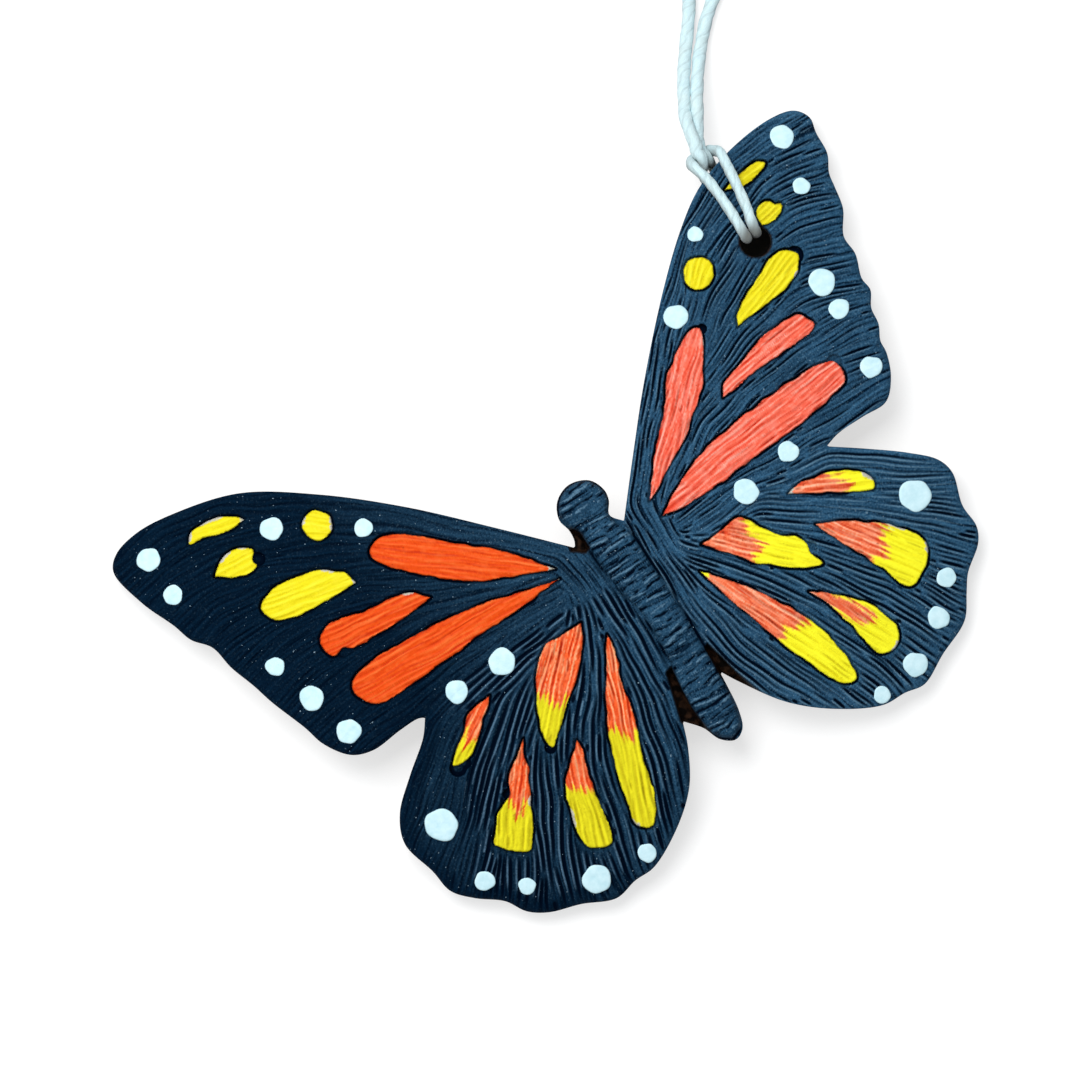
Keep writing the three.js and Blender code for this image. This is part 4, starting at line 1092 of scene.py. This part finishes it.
def plan_mesh(mesh_grid, distance, outlines):
    """Points and faces that fill the outlines on a grid. Points next to an outline move onto it."""
    spacing = mesh_grid.spacing
    points = np.stack([mesh_grid.x, mesh_grid.y], -1)
    rim = np.abs(distance) < RIM_REACH * spacing
    points[rim] = nearest_on(outlines, points[rim])
    kept = rim | (distance < 0)
    index = np.where(kept, np.arange(kept.size).reshape(kept.shape), -1)
    corners = np.stack([index[:-1, :-1], index[:-1, 1:], index[1:, 1:], index[1:, :-1]], -1).reshape(-1, 4)
    count = (corners >= 0).sum(1)
    flat = points.reshape(-1, 2)
    faces = []
    for face in corners[count >= 3]:
        face = face[face >= 0]
        x, y = flat[face].T
        area = 0.5 * abs(x @ np.roll(y, -1) - y @ np.roll(x, -1))
        if area > LEAST_FACE * spacing**2:
            faces.append(face)
    used = np.unique(np.concatenate(faces))
    renumbered = np.zeros(kept.size, int)
    renumbered[used] = np.arange(len(used))
    return flat[used], [tuple(renumbered[face].tolist()) for face in faces], used


def rim_loops(faces):
    """Closed loops of points round the open edges of a sheet of faces."""
    sides = set()
    for face in faces:
        sides.update(zip(face, face[1:] + face[:1]))
    following = {}
    for a, b in sides:
        if (b, a) not in sides:
            following.setdefault(a, []).append(b)
    loops = []
    while following:
        start = min(following)
        loop = [start]
        while True:
            here = loop[-1]
            after = following[here].pop()
            if not following[here]:
                del following[here]
            if after == start:
                break
            loop.append(after)
        loops.append(loop)
    return loops


def closed_patch(plan, faces, top, bottom, wall_steps, floor_spacing):
    """Points and faces of a closed solid: a fine top, a wall down each rim and a coarse underside.

    The third result says which part each face belongs to: 0 for the top, 1 for a wall, 2 for the underside.
    """
    points = [*np.column_stack([plan, top])]
    faces = list(faces)
    part = [0] * len(faces)
    low_rims = []
    for loop in rim_loops(faces):
        above = loop
        for step in range(1, wall_steps + 1):
            share = step / wall_steps
            below = list(range(len(points), len(points) + len(loop)))
            for i in loop:
                height = top[i] + share * (bottom(*plan[i]) - top[i])
                points.append(np.array([*plan[i], height]))
            for i in range(len(loop)):
                j = (i + 1) % len(loop)
                faces.append((above[j], above[i], below[i], below[j]))
                part.append(1)
            above = below
        low_rims.append(above)
    rim = [i for loop in low_rims for i in loop]
    place_in_rim = {i: n for n, i in enumerate(rim)}
    constraints = [
        (place_in_rim[a], place_in_rim[b]) for loop in low_rims for a, b in zip(loop, loop[1:] + loop[:1])
    ]
    loops = [np.array([points[i][:2] for i in loop]) for loop in low_rims]
    coarse = Grid(plan.min(0), plan.max(0), floor_spacing)
    reach = 4 * floor_spacing
    inside = coarse.distance(loops[0], reach)
    for loop in loops[1:]:
        inside = np.maximum(inside, -coarse.distance(loop, reach))
    kept = inside < -0.5 * floor_spacing
    floor_points = np.column_stack([coarse.x[kept], coarse.y[kept]])
    flat = [Vector(points[i][:2]) for i in rim] + [Vector(p) for p in floor_points]
    spots, _, triangles, sources, _, _ = delaunay_2d_cdt(flat, constraints, [], INSIDE_ONLY, MERGED_WITHIN)
    number = {}
    for n, source in enumerate(sources):
        first = source[0]
        if first < len(rim):
            number[n] = rim[first]
        else:
            number[n] = len(points)
            points.append(np.array([*spots[n], bottom(*spots[n])]))
    for triangle in triangles:
        middle = sum((spots[n] for n in triangle), Vector((0, 0))) / len(triangle)
        if any(inside_loop(middle, loop) for loop in loops[1:]):
            continue
        faces.append(tuple(number[n] for n in triangle)[::-1])
        part.append(2)
    return np.array(points), faces, np.array(part)


def inside_loop(point, loop):
    """Whether a point lies inside a small closed loop."""
    a = np.roll(loop, 1, 0) - point
    b = loop - point
    turns = np.arctan2(a[:, 0] * b[:, 1] - a[:, 1] * b[:, 0], (a * b).sum(1))
    return abs(turns.sum()) > math.pi


def with_rest(values, count, rest):
    """Values of the top's points, and one value for all the points after them."""
    return np.concatenate([values, np.full(count - len(values), rest)])


def fix_to_ornament(piece, node):
    """Let a piece ride on the carved body in place of a node."""
    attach(piece, "ornament")
    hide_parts(node)


def navy_paint():
    """Matt navy paint: painted shade on the left, painted light on the right, painted highlights on raised
    lips and painted shade in the strokes.
    """
    look = Look("navy_paint")
    streak = look.painted("streak")
    brushed = look.ramp(streak, -1.6, 1.6)
    grain = look.noise(0.16, 3)
    speckle = look.noise(0.26, 1)
    lit_side = look.painted("side_light")
    # Shaded and lit copies of the navy, mixed by the painted light from the left wings to the right
    shaded_navy = look.mix(brushed, colour(1, 15, 31), colour(7, 33, 54))
    light = look.mix(brushed, colour(26, 60, 87), colour(62, 107, 139))
    shade = look.mix(lit_side, shaded_navy, light)
    shade = look.lay(shade, (8, 33, 54), look.noise(9), 0.45, 0.75, 0, 0.3)
    shade = look.lay(shade, (0, 16, 34), streak, -0.6, -1.4, 0, 0.75)
    # Painted highlight on the raised lips
    lip_highlight = look.mix(lit_side, colour(92, 124, 150), colour(100, 137, 161))
    shade = look.mix(look.ramp(look.painted("lip"), 0.3, 0.8, 0, 0.9), shade, lip_highlight)
    scuffed = look.ramp(speckle, 0.58, 0.72, 0, 0.4)
    scuffed = look.math("MULTIPLY", scuffed, look.ramp(lit_side, 0, 1, 0.14, 1))
    shade = look.mix(scuffed, shade, colour(104, 138, 158))
    shade = look.lay(shade, (1, 22, 42), speckle, 0.44, 0.3, 0, 0.4)
    shade = look.mix(look.ramp(grain, 0.65, 0.35), shade, (0.56, 0.6, 0.64, 1), "MULTIPLY")
    # Painted shade in the strokes, round the cells and along the body's foot
    shade = look.lay(shade, (0, 9, 25), look.painted("groove"), 0.22, 0.56)
    dust = look.noise(0.24, 0)
    shade = look.lay(shade, (150, 176, 192), dust, 0.83, 0.86, 0, 0.7)
    gourd = look.lay(colour(12, 9, 8), (50, 33, 23), look.noise(0.9), 0.4, 0.65)
    shade = look.mix(look.painted("cut"), shade, gourd)
    look.bump(look.math("ADD", grain, look.math("MULTIPLY", brushed, 0.6)), 0.05, 0.8)
    return look.surface(shade, look.ramp(grain, 0.2, 0.8, 0.45, 0.65), 0.01)


def cut_edge():
    """The sawn edge of the gourd, stained dark with runs of navy."""
    look = Look("cut_edge")
    layers = look.noise(1.1, 3, stretch=(1, 1, 4))
    shade = look.lay(colour(20, 22, 26), (44, 34, 28), layers, 0.35, 0.65)
    look.bump(layers, 0.12)
    return look.surface(shade, look.ramp(layers, 0, 1, 0.6, 0.85), 0.25)


def bare_gourd():
    """The scraped inside of the gourd: dry, tan and fibrous."""
    look = Look("bare_gourd")
    fibres = look.noise(0.8, 5, stretch=(0.35, 1, 1))
    shade = look.lay(colour(150, 118, 78), (204, 176, 132), fibres, 0.3, 0.7)
    shade = look.lay(shade, (168, 128, 84), look.noise(7, 3), 0.4, 0.7, 0, 0.5)
    look.bump(fibres, 0.25)
    return look.surface(shade, look.ramp(fibres, 0, 1, 0.75, 0.95), 0.2)


def gourd_shell():
    """The carved shell: its painted face, sawn edge and scraped underside."""
    distance = np.maximum(edge, -hole)
    plan, faces, used = plan_mesh(grid, distance, [outline, hole_outline])
    top = carved_height().ravel()[used]

    def underside(x, y):
        ripple = RIPPLE_HEIGHT * math.sin(2.1 * x + 0.7 * math.sin(1.3 * y)) * math.sin(1.7 * y)
        return max(0.0, float(dome(x, y, DOME_RADIUS - WALL)) + ripple)

    points, faces, part = closed_patch(plan, faces, top, underside, wall_steps=4, floor_spacing=1.2)
    # The painted shade of the strokes, cell rims and body's foot, and the painted light from left to right
    fields = {"groove": painted_shade_lines(), "lip": lips, "side_light": painted_side_light(), "streak": fine_streaks}
    carried = {key: with_rest(field.ravel()[used], len(points), 0) for key, field in fields.items()}
    cut = smoothstep(0.25, -0.05, ledge) * (1 - on_body)
    cut = np.maximum(cut, smoothstep(0.35, 0.05, hole))
    carried["cut"] = with_rest(cut.ravel()[used], len(points), 1)
    materials = [navy_paint(), cut_edge(), bare_gourd()]
    shell = mesh_object("carved_shell", points, faces, materials, part, **carried)
    fix_to_ornament(shell, "gourd_shell")


gourd_shell()


# What the paint is multiplied by in its scratch marks and pits, and as painted shade in its strokes
SCRATCH_AND_SHADE_ORANGE = (0.4, 0.26, 0.2, 1)
SCRATCH_AND_SHADE_YELLOW = (0.58, 0.52, 0.3, 1)


def brushed_paint(name, dark, middle, light, contrast, scratch_and_shade_darkness, second=None):
    """Brushed acrylic: streaks of light and dark, painted highlights on its lips, scratch marks and
    painted shade in its strokes, and painted shade along its rim.

    second is the colour that the paint runs into, where the cell has two.
    """
    look = Look(name)
    streak = look.painted("streak")
    shade = look.lay(colour(*dark), middle, streak, -1.8 / contrast, 0.2)
    shade = look.lay(shade, light, streak, 0.3, 1.8 / contrast, 0, 0.9)
    # Painted highlights on the film's lips
    shade = look.lay(shade, light, look.painted("lip"), 0.2, 0.9, 0, 0.8)
    shade = look.lay(shade, light, look.noise(1.4, 3), 0.5, 0.8, 0, 0.4)
    tint = SCRATCH_AND_SHADE_YELLOW if name == "yellow_paint" else SCRATCH_AND_SHADE_ORANGE
    if second:
        share = look.painted("second")
        shade = look.mix(share, shade, look.lay(colour(*second[0]), second[1], streak, -2.4, 1.0))
        tint = look.mix(share, SCRATCH_AND_SHADE_ORANGE, SCRATCH_AND_SHADE_YELLOW)
    # Scratch marks and painted shade in the film's strokes
    scratch_and_shade = look.ramp(look.painted("groove"), 0.25, 0.85, 0, scratch_and_shade_darkness)
    pits = look.ramp(look.noise(0.5, 2), 0.7, 0.76, 0, 0.6)
    for share in (scratch_and_shade, pits):
        shade = look.mix(share, shade, tint, "MULTIPLY")
    # Painted shade along the film's rim, beside the pocket wall
    shade = look.lay(shade, (34, 30, 26), look.painted("rim"), 0.3, 1, 0, 0.8)
    grain = look.noise(0.25, 3)
    gourd = look.mix(grain, colour(146, 136, 116), colour(228, 228, 218))
    shade = look.mix(look.painted("bare"), shade, gourd)
    look.bump(grain, 0.05, 0.7)
    return look.surface(shade, look.ramp(grain, 0.2, 0.8, 0.42, 0.6), 0.06)


# Each paint's dark, middle and light shade, its contrast, how dark its scratch marks and painted shade
# in its strokes are, and the dark and light shade of the yellow that a flame runs into
PAINT_SHADES = {
    "yellow": ((213, 192, 15), (234, 220, 28), (240, 229, 56), 1.0, 0.6),
    "orange": ((196, 48, 9), (229, 77, 17), (240, 112, 51), 1.0, 0.9),
    "coral": ((216, 62, 38), (244, 107, 82), (254, 166, 148), 1.3, 0.9),
    "left_flame": (
        (198, 48, 14), (244, 98, 46), (254, 176, 128), 1.4, 1.0, ((184, 166, 14), (238, 228, 36)),
    ),
    "right_flame": (
        (206, 62, 30), (246, 120, 78), (255, 184, 150), 1.4, 1.0, ((234, 220, 25), (254, 249, 45)),
    ),
}
PAINTS = {paint: brushed_paint(f"{paint}_paint", *shades) for paint, shades in PAINT_SHADES.items()}


def paint_of(name):
    """Which paint a cell holds and its material slot, from the cell's name."""
    side, _, paint = name.split("_")[:3]
    return f"{side}_flame" if paint == "flame" else paint, f"{paint}_paint"


def bare_rim(x, y, inward, streak):
    """Share of pale gourd near a film's rim, where the paint stops short of the wall."""
    short = np.zeros(len(x))
    for u, v, reach in BARE_RIMS:
        short = np.maximum(short, smoothstep(reach, 0.5 * reach, np.hypot(x - u, y - v)))
    return smoothstep(0.0, 0.12, BARE_WIDTH * short * (1 + 0.4 * streak) - inward)


def past_sides(part, closed):
    """A part's outline whose points outside the cell lie well clear of the cell's sides."""
    near = nearest_on([closed], part)
    away = part - near
    length = np.linalg.norm(away, axis=1)[:, None]
    outside = np.array([[not inside_loop(point, closed)] for point in part])
    return np.where(outside, part + 1.5 * away / np.maximum(length, 1e-6), part)


def paint_film(name, closed):
    """Paint in one cell: a film that lies in the pocket and thins to its rim."""
    local = Grid(closed.min(0), closed.max(0), FILM_SPACING)
    distance = local.distance(closed, REACH)
    plan, faces, used = plan_mesh(local, distance, [closed])
    x, y = plan.T
    inward = np.clip(-distance.ravel()[used], 0, REACH)
    groove = grid.sample(cell_grooves, x, y)
    lip = grid.sample(cell_lips, x, y)
    streak = grid.sample(brush_streaks, x, y)
    bulge = np.sqrt(np.clip(1 - (1 - np.clip(inward / FILM_ROUNDING, 0, 1)) ** 2, 0, 1))
    thickness = (POCKET_DEPTH - FILM_DROP) * (FILM_RIM_SHARE + (1 - FILM_RIM_SHARE) * bulge)
    top = dome(x, y) - POCKET_DEPTH + thickness
    top += FILM_STREAK * streak - FILM_STROKE * groove + FILM_LIP * lip

    def underneath(u, v):
        return float(dome(u, v)) - POCKET_DEPTH - FILM_SUNK

    points, faces, _ = closed_patch(plan, faces, top, underneath, wall_steps=1, floor_spacing=1.5)
    second = np.zeros(len(plan))
    if name in ORANGE_PARTS:
        part_outline = past_sides(np.array(ORANGE_PARTS[name]), closed)
        part = local.distance(part_outline, REACH).ravel()[used]
        second = smoothstep(-0.3, 0.4, part + 0.4 * streak)
    values = {"groove": groove, "lip": lip, "streak": streak, "second": second}
    values["bare"] = bare_rim(x, y, inward, streak)
    carried = {key: with_rest(value, len(points), 0) for key, value in values.items()}
    ragged = RIM_WIDTH + RIM_VARIES * np.clip(grid.sample(roughness, x, y), -1.1, 2)
    carried["rim"] = with_rest(1 - np.clip(inward / ragged, 0, 1), len(points), 1)
    paint, slot = paint_of(name)
    film = mesh_object(f"{name}_film", points, faces, [PAINTS[paint]], **carried)
    fix_to_ornament(film, name)


for cell_name, cell_outline in cell_outlines.items():
    paint_film(cell_name, cell_outline)


def white_paint():
    """Thick pale blue-white dabs with a faint swirl of the brush."""
    look = Look("white_paint")
    swirl = look.noise(0.9, 4)
    shade = look.lay(colour(192, 228, 237), (212, 241, 248), swirl, 0.3, 0.7)
    shade = look.lay(shade, (110, 150, 168), look.painted("rim"), 0.94, 1, 0, 0.5)
    look.bump(swirl, 0.05)
    return look.surface(shade, look.ramp(swirl, 0, 1, 0.4, 0.55), 0.1)


white_look = white_paint()


def paint_dab(name, x, y, radius, seed):
    """A low dome of paint with a slightly uneven rim, sunk a little into the strokes under it."""
    random = np.random.default_rng(seed)
    turn = once_round(DAB_STEPS)
    rim = np.ones(DAB_STEPS)
    for waves, size in DAB_WAVES:
        rim += size * random.uniform(0.4, 1) * np.sin(waves * turn + random.uniform(0, 6.3))
    points = [(x, y, float(dome(x, y)) + DAB_HEIGHT)]
    thin = [0.0]
    for share, lift in DAB_PROFILE:
        u = x + radius * rim * share * np.cos(turn)
        v = y + radius * rim * share * np.sin(turn)
        brushed = DAB_STREAK * grid.sample(fine_streaks, u, v)
        points += list(zip(u, v, dome(u, v) + DAB_HEIGHT * lift + brushed))
        thin += [share] * DAB_STEPS
    points.append((x, y, float(dome(x, y)) + DAB_HEIGHT * DAB_PROFILE[-1][1]))
    thin.append(1.0)
    last = len(points) - 1
    rim_start = last - DAB_STEPS
    faces = []
    for i in range(DAB_STEPS):
        j = (i + 1) % DAB_STEPS
        faces.append((0, 1 + i, 1 + j))
        for here in range(1, rim_start, DAB_STEPS):
            there = here + DAB_STEPS
            faces.append((here + i, there + i, there + j, here + j))
        faces.append((last, rim_start + j, rim_start + i))
    dab = mesh_object(f"{name}_dab", points, faces, [white_look], rim=thin)
    fix_to_ornament(dab, name)


for wing_number, (wing, dabs) in enumerate(DABS.items()):
    for i, (x, y, radius) in enumerate(dabs):
        paint_dab(f"{wing}_dot_{i + 1}", x, y, radius, 100 * wing_number + i)


# Floor: half its side and how far it lies below the piece, in metres, and the rim of a painted shadow spot
# under the hole that keeps the hole dark
FLOOR_HALF = 1.5
FLOOR_DROP = 0.0002
PAINTED_SHADOW_RIM = (2.1, 2.9)
FLOOR_GLOW = 0.62


def floor():
    """Plain white ground with a painted shadow spot under the hole.
    It shows white to the camera where it is fully lit, and keeps the soft shadow.
    """
    mesh = bpy.data.meshes.new("floor")
    corners = [(-1, -1), (1, -1), (1, 1), (-1, 1)]
    mesh.from_pydata([(FLOOR_HALF * x, FLOOR_HALF * y, 0) for x, y in corners], [], [(0, 1, 2, 3)])
    look = Look("floor")
    under_hole = tuple((np.array([*HOLE_CENTRE, 0]) + HEAD_IN_FRAME).tolist())
    from_hole = look.vector_math("DISTANCE", look.where, under_hole)
    paper = look.mix(look.noise(40), (0.41, 0.41, 0.41, 1), (0.45, 0.45, 0.45, 1))
    # Painted shadow: the floor under the hole is near black and does not glow
    shade = look.mix(look.ramp(from_hole, *PAINTED_SHADOW_RIM), (0.02, 0.02, 0.02, 1), paper)
    look.surface(shade, 0.95, 0.0)
    rays = look.add("LightPath").outputs
    seen = look.math("ADD", rays["Is Glossy Ray"], rays["Is Transmission Ray"])
    seen = look.math("ADD", rays["Is Camera Ray"], seen)
    look.shader.inputs["Emission Color"].default_value = (1, 1, 1, 1)
    glow = look.ramp(from_hole, *PAINTED_SHADOW_RIM, 0, FLOOR_GLOW)
    look.feed(look.shader.inputs["Emission Strength"], look.math("MULTIPLY", seen, glow))
    mesh.materials.append(look.material)
    ground = new_object("floor", mesh)
    ground.location.z = -FLOOR_DROP


floor()


def lamp(name, heading, distance, size, power):
    """A square soft lamp at a distance along a heading, aimed at the piece."""
    light = bpy.data.lights.new(name, "AREA")
    light.size = size
    light.energy = power
    obj = new_object(name, light)
    obj.location = Vector(heading).normalized() * distance
    obj.rotation_euler = (-obj.location).to_track_quat("-Z", "Y").to_euler()


lamp("key", heading=(0.0, 0.45, 0.95), distance=1.0, size=0.5, power=8.4)
lamp("fill", heading=(-0.8, 0.2, 0.7), distance=1.0, size=0.8, power=1.5)

SKY_COLOUR = (0.93, 0.97, 1.0, 1)
SKY_STRENGTH = 0.45

world = bpy.data.worlds.new("world")
world.use_nodes = True
sky = world.node_tree.nodes["Background"].inputs
sky["Color"].default_value = SKY_COLOUR
sky["Strength"].default_value = SKY_STRENGTH
bpy.context.scene.world = world

bpy.context.scene.view_settings.view_transform = "Standard"
